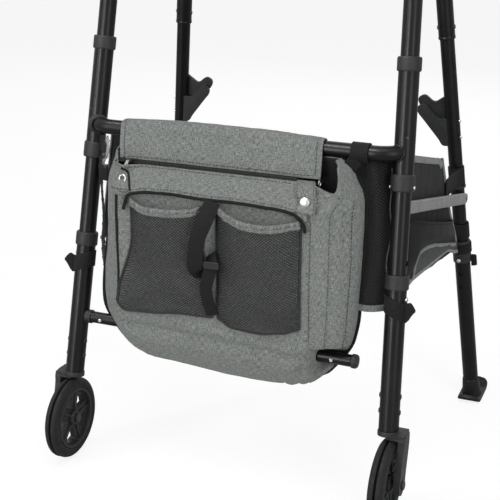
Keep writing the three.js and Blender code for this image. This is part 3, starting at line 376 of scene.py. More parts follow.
def softTurned(profile, amount, segments=48):
    # a turned form with rounded edges; a profile that starts on the axis also ends on it
    closed = profile[0][0] > 1e-6
    return turnedForm(softened(profile, amount, closed), segments)


def sweptForm(stations, section, closed=False):
    # stations are (centre, side way, up way); section is a list of (side, up)
    points = [centre + side * a + up * b for centre, side, up in stations for a, b in section]
    size = len(section)
    faces = []
    last = len(stations) if closed else len(stations) - 1
    for k in range(last):
        low = k * size
        high = ((k + 1) % len(stations)) * size
        for i in range(size):
            j = (i + 1) % size
            faces.append([low + i, low + j, high + j, high + i])
    if not closed:
        faces.append(list(range(size))[::-1])
        faces.append([len(points) - size + i for i in range(size)])
    return points, faces


def transported(path, firstSide=None):
    # carries one side way along a path without twist
    headings = []
    for i in range(len(path)):
        way = path[min(i + 1, len(path) - 1)] - path[max(i - 1, 0)]
        headings.append(way.normalized())
    side = (firstSide or headings[0].orthogonal()).normalized()
    stations = []
    for centre, heading in zip(path, headings):
        side = (side - heading * side.dot(heading)).normalized()
        stations.append((centre, side, heading.cross(side)))
    return stations


def circleSection(radius, segments=40):
    angles = [2 * pi * i / segments for i in range(segments)]
    return [(radius * cos(a), radius * sin(a)) for a in angles]


def roundedBand(width, thickness):
    w, t = width / 2, thickness / 2
    return softened([(-w, -t), (w, -t), (w, t), (-w, t)], t * 0.8, True, 2)


def tubeForm(path, outer, inner, segments=40):
    # a hollow tube along a path, with its ends eased
    stations = transported(path)
    edge = 0.0005
    rings = [(0, inner), (0, outer - edge)] + [(i, outer) for i in range(len(path))]
    rings += [(len(path) - 1, outer - edge), (len(path) - 1, inner)]
    rings += [(i, inner) for i in range(len(path) - 2, 0, -1)]
    points, faces = [], []
    for index, (station, radius) in enumerate(rings):
        centre, side, up = stations[station]
        push = Vector()
        if index == 2:
            push = side.cross(up) * edge
        if index == len(path) + 1:
            push = side.cross(up) * -edge
        for a, b in circleSection(radius, segments):
            points.append(centre + push + side * a + up * b)
    for k in range(len(rings)):
        low = k * segments
        high = ((k + 1) % len(rings)) * segments
        for i in range(segments):
            j = (i + 1) % segments
            faces.append([low + i, low + j, high + j, high + i])
    return points, faces


def bentPath(corners, bend, stepDegrees=4):
    path = [Vector(corners[0])]
    for before, corner, after in zip(corners, corners[1:], corners[2:]):
        into = (Vector(corner) - Vector(before)).normalized()
        away = (Vector(after) - Vector(corner)).normalized()
        turn = into.angle(away)
        setBack = bend * tan(turn / 2)
        start = Vector(corner) - into * setBack
        axis = into.cross(away).normalized()
        spoke = -axis.cross(into).normalized() * bend
        centre = start - spoke
        steps = max(2, round(inDegrees(turn) / stepDegrees))
        for k in range(steps + 1):
            path.append(centre + Matrix.Rotation(turn * k / steps, 3, axis) @ spoke)
    path.append(Vector(corners[-1]))
    return path


def smoothPath(points, perSpan=8, closed=False):
    points = [Vector(p) for p in points]
    count = len(points)
    spans = count if closed else count - 1
    path = []
    for i in range(spans):
        if closed:
            a, b, c, d = (points[(i + k) % count] for k in (-1, 0, 1, 2))
        else:
            b, c = points[i], points[i + 1]
            a = points[i - 1] if i else b * 2 - c
            d = points[i + 2] if i + 2 < count else c * 2 - b
        for k in range(perSpan):
            t = k / perSpan
            path.append(0.5 * (2 * b + (c - a) * t + (2 * a - 5 * b + 4 * c - d) * t * t
                    + (3 * b - a - 3 * c + d) * t ** 3))
    if not closed:
        path.append(points[-1])
    return path


def evenly(path, step):
    # points a fixed distance apart along a path
    spaced = [path[0].copy()]
    need = step
    for a, b in zip(path, path[1:]):
        length = (b - a).length
        while length > 0 and need <= length:
            spaced.append(a.lerp(b, need / length))
            need += step
        need -= length
    return spaced


def plateForm(outline, depth):
    # an outline in local X and Y, pushed from -depth/2 to depth/2 along Z
    count = len(outline)
    points = [Vector((x, y, z)) for z in (-depth / 2, depth / 2) for x, y in outline]
    faces = [list(range(count))[::-1], list(range(count, 2 * count))]
    faces += [[i, (i + 1) % count, count + (i + 1) % count, count + i] for i in range(count)]
    return points, faces


def moved(form, matrix):
    return [matrix @ p for p in form[0]], form[1]


def together(*forms):
    points, faces = [], []
    for some, theirs in forms:
        shift = len(points)
        points += some
        faces += [[i + shift for i in face] for face in theirs]
    return points, faces


def toObject(name, form, finish, sharpDegrees=38):
    mesh = bpy.data.meshes.new(name)
    mesh.from_pydata([tuple(p) for p in form[0]], [], form[1])
    work = bmesh.new()
    work.from_mesh(mesh)
    bmesh.ops.recalc_face_normals(work, faces=work.faces)
    work.to_mesh(mesh)
    work.free()
    mesh.shade_smooth()
    mesh.set_sharp_from_angle(angle=radians(sharpDegrees))
    mesh.materials.append(finishes[finish])
    obj = bpy.data.objects.new(name, mesh)
    scene.collection.objects.link(obj)
    return obj


def booleaned(obj, tools, operation="DIFFERENCE"):
    # cuts or joins other forms into an object, for good
    helpers = []
    for index, form in enumerate(tools):
        helper = toObject(f"{obj.name}_tool{index}", form, "blackCoat")
        helpers.append(helper)
        step = obj.modifiers.new("step", "BOOLEAN")
        step.operation = operation
        step.solver = "EXACT"
        step.object = helper
    bpy.context.view_layer.update()
    made = bpy.data.meshes.new_from_object(obj.evaluated_get(bpy.context.evaluated_depsgraph_get()))
    obj.modifiers.clear()
    obj.data = made
    for helper in helpers:
        bpy.data.objects.remove(helper)
    made.shade_smooth()
    made.set_sharp_from_angle(angle=radians(38))


def bevelled(obj, width, segments=3, degrees=38):
    step = obj.modifiers.new("easedEdges", "BEVEL")
    step.width = width
    step.segments = segments
    step.limit_method = "ANGLE"
    step.angle_limit = radians(degrees)
    step.harden_normals = False


def joinsBody(obj, body, finish, *nodes):
    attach(obj, body)
    if nodes:
        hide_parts(*nodes)
    return obj


def piece(name, form, finish, body, *nodes):
    return joinsBody(toObject(name, form, finish), body, finish, *nodes)


def clothGrid(name, rows, finish, body, *nodes, thickness=0.0022, wrap=False, lining=None, cap=False,
        outward=None):
    # a grid of cloth with a map in metres along it, thickened inwards
    width = len(rows[0])
    points = [p for row in rows for p in row]
    columns = width if wrap else width - 1
    faces = []
    for r in range(len(rows) - 1):
        for c in range(columns):
            d = (c + 1) % width
            faces.append([r * width + c, r * width + d, (r + 1) * width + d, (r + 1) * width + c])
    middle = len(rows) // 2
    acrossAt = [0.0]
    for c in range(columns):
        acrossAt.append(acrossAt[-1] + (rows[middle][(c + 1) % width] - rows[middle][c]).length)
    upAt = [0.0]
    for r in range(len(rows) - 1):
        upAt.append(upAt[-1] + (rows[r + 1][width // 2] - rows[r][width // 2]).length)
    mesh = bpy.data.meshes.new(name)
    capFaces = [list(range(width))[::-1]] if cap else []
    mesh.from_pydata([tuple(p) for p in points], [], faces + capFaces)
    layer = mesh.uv_layers.new(name="cloth")
    for index, polygon in enumerate(mesh.polygons):
        for k, loop in enumerate(polygon.loop_indices):
            if index < len(faces):
                r, c = divmod(index, columns)
                layer.data[loop].uv = (acrossAt[c + (k in (1, 2))], upAt[r + (k in (2, 3))])
            else:
                spot = points[polygon.vertices[k]]
                layer.data[loop].uv = (spot.x, spot.y)
    if outward is not None:
        middleFace = mesh.polygons[(len(rows) // 2) * columns + columns // 2]
        if middleFace.normal.dot(Vector(outward)) < 0:
            mesh.flip_normals()
    mesh.shade_smooth()
    mesh.materials.append(finishes[finish])
    obj = bpy.data.objects.new(name, mesh)
    scene.collection.objects.link(obj)
    thick = obj.modifiers.new("clothThickness", "SOLIDIFY")
    thick.thickness = thickness
    thick.offset = -1
    if lining:
        mesh.materials.append(finishes[lining])
        thick.material_offset = 1
    return joinsBody(obj, body, finish, *nodes)


def strapPiece(name, stations, width, thickness, finish, body, *nodes):
    # webbing or binding swept along stations, mapped in metres
    section = roundedBand(width, thickness)
    form = sweptForm(stations, section)
    obj = toObject(name, form, finish, 60)
    mesh = obj.data
    layer = mesh.uv_layers.new(name="cloth")
    lengths = [0.0]
    for a, b in zip(stations, stations[1:]):
        lengths.append(lengths[-1] + (b[0] - a[0]).length)
    size = len(section)
    for loop in mesh.loops:
        k, i = divmod(loop.vertex_index, size)
        layer.data[loop.index].uv = (section[i][0] + section[i][1], lengths[k])
    return joinsBody(obj, body, finish, *nodes)


def stitchForm(path, outward, length=0.0034, gap=0.0018, width=0.0009, lift=0.0004):
    # short raised stitches along a path; outward is a way, or a list of ways along the path
    ways = outward if isinstance(outward, list) else [outward] * len(path)
    spots, needs = [], []
    marks = [0.0]
    for a, b in zip(path, path[1:]):
        marks.append(marks[-1] + (b - a).length)
    at = 0.0
    index = 0

    def spot(distance):
        nonlocal index
        while index < len(marks) - 2 and marks[index + 1] < distance:
            index += 1
        share = (distance - marks[index]) / max(marks[index + 1] - marks[index], 1e-9)
        return path[index].lerp(path[index + 1], share), Vector(ways[index]).normalized()

    forms = []
    section = [(-width / 2, 0), (-width / 4, lift * 2), (width / 4, lift * 2), (width / 2, 0), (0, -lift)]
    while at + length <= marks[-1]:
        start, up = spot(at)
        end, _ = spot(at + length)
        heading = (end - start).normalized()
        side = heading.cross(up).normalized()
        stations = [(start, side * 0.5, up * 0.5), (start.lerp(end, 0.2), side, up),
                (start.lerp(end, 0.8), side, up), (end, side * 0.5, up * 0.5)]
        forms.append(sweptForm(stations, section))
        at += length + gap
    return together(*forms)


def facing(point, way):
    # a matrix at a point whose Z looks along a way
    turn = Vector(way).to_track_quat("Z", "Y").to_matrix().to_4x4()
    return Matrix.Translation(Vector(point)) @ turn


def smoothStep(low, high, value):
    t = min(max((value - low) / (high - low), 0.0), 1.0)
    return t * t * (3 - 2 * t)


def wander(x, y, z):
    # a smooth random value at a place
    return noise.noise(Vector((x, y, z)))


def bell(value, middle, spread):
    return exp(-((value - middle) / spread) ** 2)


# leg lines: each leg passes its place at the crossbar's height, and leans away from there
crossbarHeight = 0.517
frontLine = -0.117602
legs = {
    "front": {"x": 0.236, "y": frontLine, "lean": 11.6, "splay": 2.4},
    "rear": {"x": 0.235, "y": 0.173398, "lean": -6.05, "splay": 6.0},
}


def legLine(side, end):
    leg = legs[end]
    way = Vector((-side * tan(radians(leg["splay"])), tan(radians(leg["lean"])), 1))
    return Vector((side * leg["x"], leg["y"], crossbarHeight)), way.normalized()


def legPoint(side, end, height):
    origin, way = legLine(side, end)
    return origin + way * ((height - origin.z) / way.z)


def legMatrix(side, end, height):
    # Z runs up the leg and X looks outboard
    way = legLine(side, end)[1]
    out = Vector((side, 0, 0))
    out = (out - way * out.dot(way)).normalized()
    matrix = Matrix((out, way.cross(out), way)).transposed().to_4x4()
    matrix.translation = legPoint(side, end, height)
    return matrix


def offLeg(side, end, height, toFront, radius):
    # a place and a way off a leg, at an angle from outboard towards the front
    way = legLine(side, end)[1]
    out = Vector((side, 0, 0))
    out = (out - way * out.dot(way)).normalized()
    front = Vector((0, -1, 0))
    front = (front - way * front.dot(way)).normalized()
    aim = out * cos(radians(toFront)) + front * sin(radians(toFront))
    return legPoint(side, end, height) + aim * radius, aim


def onLeg(form, side, end, height=crossbarHeight):
    return moved(form, legMatrix(side, end, height))


def heightAlong(side, end, height):
    # distance along the leg from the crossbar's height
    way = legLine(side, end)[1]
    return (height - crossbarHeight) / way.z


def ahead(x, forward, z):
    # a place given by how far it is in front of the front legs' line
    return Vector((x, frontLine - forward, z))


bothSides = ((-1, "left"), (1, "right"))


# small fasteners
def rivetForm(radius, proud):
    return softTurned([(0, -0.001), (radius, -0.001), (radius, proud * 0.35), (radius * 0.72, proud * 0.85),
            (0, proud)], radius * 0.2, 24)


def boltForm(radius, proud):
    return softTurned([(0, -0.001), (radius, -0.001), (radius, proud * 0.7), (radius * 0.85, proud),
        (radius * 0.45, proud), (radius * 0.4, proud * 0.45), (0, proud * 0.45)], radius * 0.1, 24)


def addRivets(name, body, finish, places):
    forms = [moved(rivetForm(radius, proud), facing(point, way)) for point, way, radius, proud in places]
    return piece(name, together(*forms), finish, body)


# frame tubes
tubes = {
    "sleeve": {"outer": 0.0143, "bottom": 0.470, "top": 0.636},
    "post": {"outer": 0.0127, "bottom": 0.252, "handle": 0.846, "bend": 0.052, "rearEnd": 0.628},
    "rearPost": {"outer": 0.0111, "bottom": 0.128, "top": 0.668},
    "frontLeg": {"outer": 0.0143, "bottom": 0.138, "top": 0.349},
    "rearLeg": {"outer": 0.0127, "bottom": 0.016, "top": 0.290},
    "wall": 0.0012,
}
crossbar = {"radius": 0.011, "forward": 0.022, "bend": 0.040, "endDegrees": 55, "saddleReach": 0.019,
        "saddleRadius": 0.0147, "weld": 0.0016}
lowerBar = {"radius": 0.0088, "height": 0.225, "free": 0.190, "cap": 0.0103}
holes = {"radius": 0.0039, "pitch": 0.025, "front": 0.320, "rear": 0.262, "rearTurn": 80}


def straightTube(side, end, look):
    path = [legPoint(side, end, look["bottom"]), legPoint(side, end, look["top"])]
    return tubeForm(path, look["outer"], look["outer"] - tubes["wall"], 48)


def sidewaysDrill(side, end, height, toFront):
    point, way = offLeg(side, end, height, toFront, 0.004)
    form = turnedForm([(0, 0), (holes["radius"], 0), (holes["radius"], 0.03), (0, 0.03)], 24)
    return moved(form, facing(point, way))


def stepHeights(side, end, start, count, upwards):
    way = legLine(side, end)[1]
    return [start + upwards * i * holes["pitch"] * way.z for i in range(count)]


def addCrossbar():
    angle = radians(crossbar["endDegrees"])
    ends = {}
    for side, _ in bothSides:
        root = legLine(side, "front")[0]
        way = Vector((-side * cos(angle), -sin(angle), 0))
        ends[side] = (root, way, root + way * (crossbar["forward"] / sin(angle)))
    leftRoot, leftWay, leftCorner = ends[-1]
    rightRoot, rightWay, rightCorner = ends[1]
    start = leftRoot + leftWay * (crossbar["saddleReach"] - 0.002)
    path = bentPath([start, leftCorner, rightCorner, rightRoot], crossbar["bend"])
    bar = toObject("crossbarTube", tubeForm(path, crossbar["radius"], crossbar["radius"] - tubes["wall"],
            48),
            "blackCoat")
    seat = onLeg(rodForm(0.0136, 0.04, 48), 1, "front")
    booleaned(bar, [seat])
    joinsBody(bar, "front_frame", "blackCoat", "crossbar")
    # the weld follows the mouth where the bar meets the sleeve
    sleeveWay = legLine(1, "front")[1]
    side = rightWay.cross(Vector((0, 0, 1))).normalized()
    weld = []
    for i in range(56):
        turn = 2 * pi * i / 56
        off = side * cos(turn) * crossbar["radius"] + Vector((0, 0, 1)) * sin(turn) * crossbar["radius"]
        flatWay = rightWay - sleeveWay * rightWay.dot(sleeveWay)
        flatOff = off - sleeveWay * off.dot(sleeveWay)
        a, b = flatWay.dot(flatWay), 2 * flatWay.dot(flatOff)
        c = flatOff.dot(flatOff) - tubes["sleeve"]["outer"] ** 2
        reach = (-b + sqrt(max(b * b - 4 * a * c, 0))) / (2 * a)
        weld.append(rightRoot + off + rightWay * (reach + 0.0002))
    stations = []
    for i, spot in enumerate(weld):
        heading = (weld[(i + 1) % 56] - weld[i - 1]).normalized()
        across = heading.cross(rightWay).normalized()
        swell = 1 + 0.12 * sin(i * 1.9)
        stations.append((spot, across * swell, heading.cross(across) * swell))
    piece("crossbarWeld", sweptForm(stations, circleSection(crossbar["weld"], 10), closed=True),
          "blackCoat", "front_frame")
    # saddle ring at the left end, with a step where the bar sits
    ring = softTurned([(0.0102, 0.0128), (crossbar["saddleRadius"], 0.0128),
            (crossbar["saddleRadius"], 0.0178),
            (0.0128, 0.0192), (0.0112, 0.0192), (0.0112, 0.0205), (0.0102, 0.0205)], 0.0008, 48)
    saddle = toObject("crossbarSaddle", moved(ring, facing(leftRoot, leftWay)), "mouldedBlack")
    booleaned(saddle, [onLeg(rodForm(0.0145, 0.04, 48), -1, "front")])
    joinsBody(saddle, "front_frame", "mouldedBlack", "crossbar_saddle")


def addLowerBar():
    root = legPoint(-1, "front", lowerBar["height"])
    y, z = root.y, root.z
    start = root.x + 0.0165
    bar = tubeForm([Vector((start, y, z)), Vector((lowerBar["free"], y, z))], lowerBar["radius"],
            lowerBar["radius"] - tubes["wall"], 40)
    piece("lowerBarTube", bar, "blackCoat", "front_frame", "lower_bar")
    alongX = Matrix.Translation((0, y, z)) @ Matrix.Rotation(pi / 2, 4, "Y")
    cup = softTurned([(0.0089, root.x + 0.0125), (0.0104, root.x + 0.0125), (0.0104, start + 0.006),
            (0.0089, start + 0.006)], 0.0007, 40)
    saddle = toObject("lowerBarSaddle", moved(cup, alongX), "mouldedBlack")
    booleaned(saddle, [onLeg(rodForm(0.0146, 0.06, 48), -1,
            "front", lowerBar["height"])])
    joinsBody(saddle, "front_frame", "mouldedBlack", "lower_bar_saddle")
    end = lowerBar["free"] + 0.0003
    cap = softTurned([(0, end - 0.014), (0.0073, end - 0.014), (0.0073, end), (lowerBar["cap"], end),
            (lowerBar["cap"], end + 0.006), (0.0086, end + 0.0088), (0, end + 0.0092)], 0.0012, 40)
    piece("lowerBarCap", moved(cap, alongX), "mouldedBlack", "front_frame", "lower_bar_cap")
    heads = []
    for x in (-0.2095, 0.161):
        way = Vector((0.12, -1.0, 0.0)).normalized()
        heads.append((Vector((x, y, z)) + way * (lowerBar["radius"] - 0.0002), way))
    forms = [moved(boltForm(0.0026, 0.0014), facing(point, way)) for point, way in heads]
    piece("lowerBarScrews", together(*forms), "platedSteel", "front_frame")


def collarForm(outer, bore, length):
    # a cup with a raised band and eased edges
    return softTurned([(bore, 0), (outer - 0.0008, 0), (outer, 0.0018), (outer, length - 0.0022),
            (outer - 0.0009, length - 0.0004), (outer - 0.0016, length), (bore, length)], 0.0007, 56)


def addSleeves():
    for side, name in bothSides:
        body = "front_frame"
        piece(f"{name}SleeveTube", straightTube(side, "front", tubes["sleeve"]), "blackCoat", body,
              f"{name}_front_sleeve")
        low = heightAlong(side, "front", 0.465)
        high = heightAlong(side, "front", 0.488)
        collar = moved(collarForm(0.0167, 0.0131, high - low), Matrix.Translation((0, 0, low)))
        piece(f"{name}UpperCollar", onLeg(collar, side, "front"), "mouldedBlack", body,
                f"{name}_upper_collar")
        top = heightAlong(side, "front", 0.6225)
        cap = moved(collarForm(0.0167, 0.0131, 0.0196), Matrix.Translation((0, 0, top)))
        piece(f"{name}TopCollar", onLeg(cap, side, "front"), "mouldedBlack", body, f"{name}_top_collar")
        rivets = [offLeg(side, "front", 0.4705, angle, 0.0166) + (0.0026, 0.0017) for angle in (4, 176)]
        addRivets(f"{name}CollarRivets", body, "platedSteel", rivets)
        dimple = [offLeg(side, "front", 0.536, 62, 0.0142) + (0.0021, 0.0007)]
        addRivets(f"{name}SleevePin", body, "dullPin", dimple)


def addSideFrames():
    post = tubes["post"]
    for side, name in bothSides:
        body = f"{name}_side_frame"
        corners = [legPoint(side, "front", post["bottom"]), legPoint(side, "front", post["handle"]),
                legPoint(side, "rear", post["handle"]), legPoint(side, "rear", post["rearEnd"])]
        rail = toObject(f"{name}SideRail", tubeForm(bentPath(corners, post["bend"]), post["outer"],
                post["outer"] - tubes["wall"], 48), "blackCoat")
        booleaned(rail, [sidewaysDrill(side, "front", height, 0)
                for height in stepHeights(side, "front", holes["front"], 3, 1)])
        joinsBody(rail, body, "blackCoat", f"{name}_side_rail")
        rear = toObject(f"{name}RearPost", straightTube(side, "rear", tubes["rearPost"]), "blackCoat")
        booleaned(rear, [sidewaysDrill(side, "rear", height, holes["rearTurn"] + 20)
                for height in stepHeights(side, "rear", holes["rear"], 3, 1)])
        joinsBody(rear, body, "blackCoat", f"{name}_rear_post")
        # a swaged lip and a cross bolt where the rear post enters the bow
        lip = softTurned([(0.0112, -0.001), (0.0129, -0.001), (0.0134, 0.0015), (0.0129, 0.004),
                (0.0112, 0.004)],
                0.0008, 48)
        piece(f"{name}BowLip", onLeg(lip, side, "rear", post["rearEnd"]), "blackCoat", body)
        addRivets(f"{name}BowBolts", body, "dullPin",
                [offLeg(side, "rear", 0.645, angle, 0.0126) + (0.0036, 0.0018) for angle in (0, 180)])
        addGrip(side, name, corners)


grip = {"low": 0.0166, "high": 0.0184, "ribs": 15, "flange": 0.0186}


def addGrip(side, name, corners):
    start, end = corners[1], corners[2]
    way = end - start
    length = way.length
    heading = way.normalized()
    bend = tubes["post"]["bend"]
    first = bend * tan(heading.angle(legLine(side, "front")[1]) / 2)
    last = length - bend * tan(heading.angle(-legLine(side, "rear")[1]) / 2)
    profile = [(0.0130, first), (grip["low"], first), (grip["flange"], first + 0.0012),
            (grip["flange"], first + 0.0045), (grip["low"], first + 0.006)]
    pitch = (last - first - 0.012) / grip["ribs"]
    for i in range(grip["ribs"]):
        at = first + 0.006 + pitch * i
        for k in range(1, 7):
            share = k / 7
            profile.append((grip["low"] + (grip["high"] - grip["low"]) * sin(pi * share) ** 0.7,
                    at + pitch * share))
    profile += [(grip["low"], last - 0.006), (grip["flange"], last - 0.0045),
            (grip["flange"], last - 0.0012),
            (grip["low"], last), (0.0130, last)]
    form = moved(turnedForm(profile, 56), facing(start, heading))
    piece(f"{name}GripFoam", form, "gripFoam", f"{name}_side_frame", f"{name}_grip")


addCrossbar()
addLowerBar()
addSleeves()
addSideFrames()
print("frame tubes built")


# brace and storage clip
brace = {"front": 0.4435, "rear": 0.3670, "half": 0.009, "thickness": 0.008, "round": 0.0026,
        "frontAway": 0.0065,
        "rearAway": 0.010}
clip = {"middle": 0.512, "rearLift": 0.0115}


def addBrace(side, name):
    start = legPoint(side, "front", brace["front"])
    end = legPoint(side, "rear", brace["rear"])
    start.x += side * brace["frontAway"]
    end.x += side * brace["rearAway"]
    heading = (end - start).normalized()
    length = (end - start).length
    across = heading.cross(Vector((0, 0, 1))).normalized() * side
    up = across.cross(heading) if side > 0 else heading.cross(across)
    outline = []
    for centre, base in ((length, -90), (0, 90)):
        for k in range(13):
            angle = radians(base + 180 * k / 12)
            outline.append((centre + brace["half"] * cos(angle), brace["half"] * sin(angle)))
    matrix = Matrix((heading, up, heading.cross(up))).transposed().to_4x4()
    matrix.translation = start
    bar = toObject(f"{name}BraceBar", moved(plateForm(outline, brace["thickness"]), matrix), "braceCoat",
            30)
    bevelled(bar, brace["round"], 4, 50)
    seats = [("front", brace["front"], 0.0130), ("rear", brace["rear"], 0.0114)]
    booleaned(bar, [onLeg(rodForm(radius, 0.06, 56), side, leg, height)
            for leg, height, radius in seats])
    bevelled(bar, 0.0005, 2, 50)
    body = f"{name}_side_frame"
    joinsBody(bar, body, "braceCoat", f"{name}_side_brace")
    out = Vector((side, 0, 0))
    out = (out - heading * out.dot(heading)).normalized()
    half = brace["thickness"] / 2
    addRivets(f"{name}BraceRivet", body, "dullPin", [(end + out * (half - 0.0004), out, 0.0036, 0.0014)])


def addClip(side, name):
    # a hook of two plates joined by a web: points are away from the post and up from the clip's middle
    hook = [(0.0425, 0.0165), (0.054, 0.012), (0.054, 0.002), (0.044, -0.012), (0.0225, -0.0445),
            (0.018, -0.055),
            (0, -0.055)]
    front = [(0, -0.0095), (0.021, -0.0095)] + hook
    rear = [(0, 0.030), (0.0285, 0.0135)] + [(away, up + clip["rearLift"]) for away, up in hook]
    web = [(0, -0.0145), (0.0175, -0.0145), (0.0175, -0.033), (0, -0.033)]
    body = f"{name}_side_frame"
    matrix = legMatrix(side, "rear", clip["middle"]) @ Matrix.Rotation(pi, 4, "Z")
    matrix = matrix @ Matrix.Rotation(pi / 2, 4, "X")
    forms = []
    for outline, shift, depth in ((front, -0.006, 0.005), (rear, 0.006, 0.005), (web, 0, 0.012)):
        smooth = softened(outline, 0.0065, True, 5) if shift else outline
        forms.append(moved(plateForm(smooth, depth), matrix @ Matrix.Translation((0, 0, shift * side))))
    fork = toObject(f"{name}StorageClip", forms[0], "mouldedBlack")
    booleaned(fork, forms[1:], "UNION")
    booleaned(fork, [moved(rodForm(0.0114, 0.09, 48),
            legMatrix(side, "rear", clip["middle"]))])
    bevelled(fork, 0.0012, 3, 44)
    joinsBody(fork, body, "mouldedBlack", f"{name}_storage_clip")
    addRivets(f"{name}ClipRivets", body, "platedSteel",
            [offLeg(side, "rear", height, 4, 0.0109) + (0.0027, 0.0026) for height in (0.496, 0.470)])


for side, name in bothSides:
    addBrace(side, name)
    addClip(side, name)
print("braces and clips built")


# lower legs, wheels and glides
wheel = {"radius": 0.0635, "width": 0.022, "rim": 0.048, "groove": 0.0032, "grooveDepth": 0.007,
        "hub": 0.0125,
        "spokes": 5}


def turnedOnX(form, centre):
    return moved(form, Matrix.Translation(centre) @ Matrix.Rotation(pi / 2, 4, "Y"))


def addFrontLegs():
    look = tubes["frontLeg"]
    for side, name in bothSides:
        body = f"{name}_front_leg"
        tube = toObject(f"{name}LegTube", straightTube(side, "front", look), "blackCoat")
        booleaned(tube, [sidewaysDrill(side, "front", holes["front"], 0)])
        joinsBody(tube, body, "blackCoat", f"{name}_front_leg_tube")
        low = heightAlong(side, "front", 0.333)
        collar = moved(collarForm(0.0167, 0.0131, 0.0208), Matrix.Translation((0, 0, low)))
        piece(f"{name}LowerCollar", onLeg(collar, side, "front"), "mouldedBlack", body,
                f"{name}_lower_collar")
        addRivets(f"{name}LegBolts", body, "mouldedBlack",
                [offLeg(side, "front", height, angle, 0.0141) + (0.0041, 0.0018)
                for height in (0.186, 0.164) for angle in (2, 178)])
        stud = softTurned([(0, 0.0132), (0.0034, 0.0132), (0.0034, 0.0155), (0.0024, 0.0165), (0, 0.0166)],
                0.0006, 24)
        point, way = offLeg(side, "front", holes["front"], 0, 0)
        piece(f"{name}FrontButton", moved(stud, facing(point, way)), "platedSteel", f"{name}_front_button",
              f"{name}_front_button")


def addWheels():
    half = wheel["width"] / 2
    for side, name in bothSides:
        centre = legPoint(side, "front", wheel["radius"])
        body = f"{name}_wheel"
        outer, inner = wheel["radius"], wheel["rim"]
        g, deep = wheel["groove"] / 2, outer - wheel["grooveDepth"]
        tread = [(inner, -half + 0.001), (inner + 0.004, -half), (outer - 0.006, -half),
                (outer - 0.0012, -half + 0.0035),
                (outer, -g - 0.002), (outer - 0.0006, -g), (deep, -g * 0.8), (deep, g * 0.8),
                (outer - 0.0006, g),
                (outer, g + 0.002), (outer - 0.0012, half - 0.0035), (outer - 0.006, half),
                (inner + 0.004, half),
                (inner, half - 0.001)]
        piece(f"{name}Tyre", turnedOnX(softTurned(tread, 0.0014, 96), centre), "tyreRubber", body,
                f"{name}_tyre")
        addRim(name, centre, body)
        addArm(side, name, centre)


def addRim(name, centre, body):
    half = wheel["width"] / 2
    outer = wheel["rim"] - 0.0003
    ring = turnedOnX(softTurned([(outer - 0.0042, -half + 0.0004), (outer, -half + 0.0004),
            (outer, half - 0.0004),
            (outer - 0.0042, half - 0.0004)], 0.0009, 96), centre)
    web = turnedOnX(softTurned([(0.0044, -0.0042), (outer - 0.003, -0.0042), (outer - 0.003, 0.0042),
            (0.0044, 0.0042)], 0.0006, 96), centre)
    disc = toObject(f"{name}WheelRim", web, "mouldedBlack")
    windows = []
    for i in range(wheel["spokes"]):
        turn = 2 * pi * (i + 0.5) / wheel["spokes"] + 0.35
        outline = [(0.0165, -0.0022), (0.0235, -0.0072), (0.0335, -0.0128), (0.0392, -0.0125),
                (0.0412, 0.0),
                (0.0392, 0.0125), (0.0335, 0.0128), (0.0235, 0.0072), (0.0165, 0.0022)]
        shape = softened(outline, 0.004, True, 4)
        flat = moved(plateForm(shape, 0.04), Matrix.Rotation(turn, 4, "Z"))
        windows.append(turnedOnX(flat, centre))
    booleaned(disc, windows)
    hub = turnedOnX(softTurned([(0.0044, -half), (wheel["hub"] - 0.002, -half),
            (wheel["hub"], -half + 0.003),
            (wheel["hub"], half - 0.003), (wheel["hub"] - 0.002, half), (0.0044, half)],
            0.0009, 48), centre)
    booleaned(disc, [ring, hub], "UNION")
    bevelled(disc, 0.0007, 2, 50)
    joinsBody(disc, body, "mouldedBlack", f"{name}_wheel_rim")
    # raised ribs along the spokes, as a star round the hub
    ribs = []
    for i in range(wheel["spokes"]):
        turn = 2 * pi * i / wheel["spokes"] + 0.35
        for face in (-1, 1):
            path = [Vector((0.0118, 0, face * 0.0085)), Vector((0.020, 0, face * 0.0056)),
                    Vector((0.034, 0, face * 0.0048)), Vector((0.0440, 0, face * 0.0062))]
            swept = sweptForm(transported(smoothPath(path, 6), Vector((0, 1, 0))),
                    circleSection(0.0018, 10))
            ribs.append(turnedOnX(moved(swept, Matrix.Rotation(turn, 4, "Z")), centre))
    piece(f"{name}WheelRibs", together(*ribs), "mouldedBlack", body)


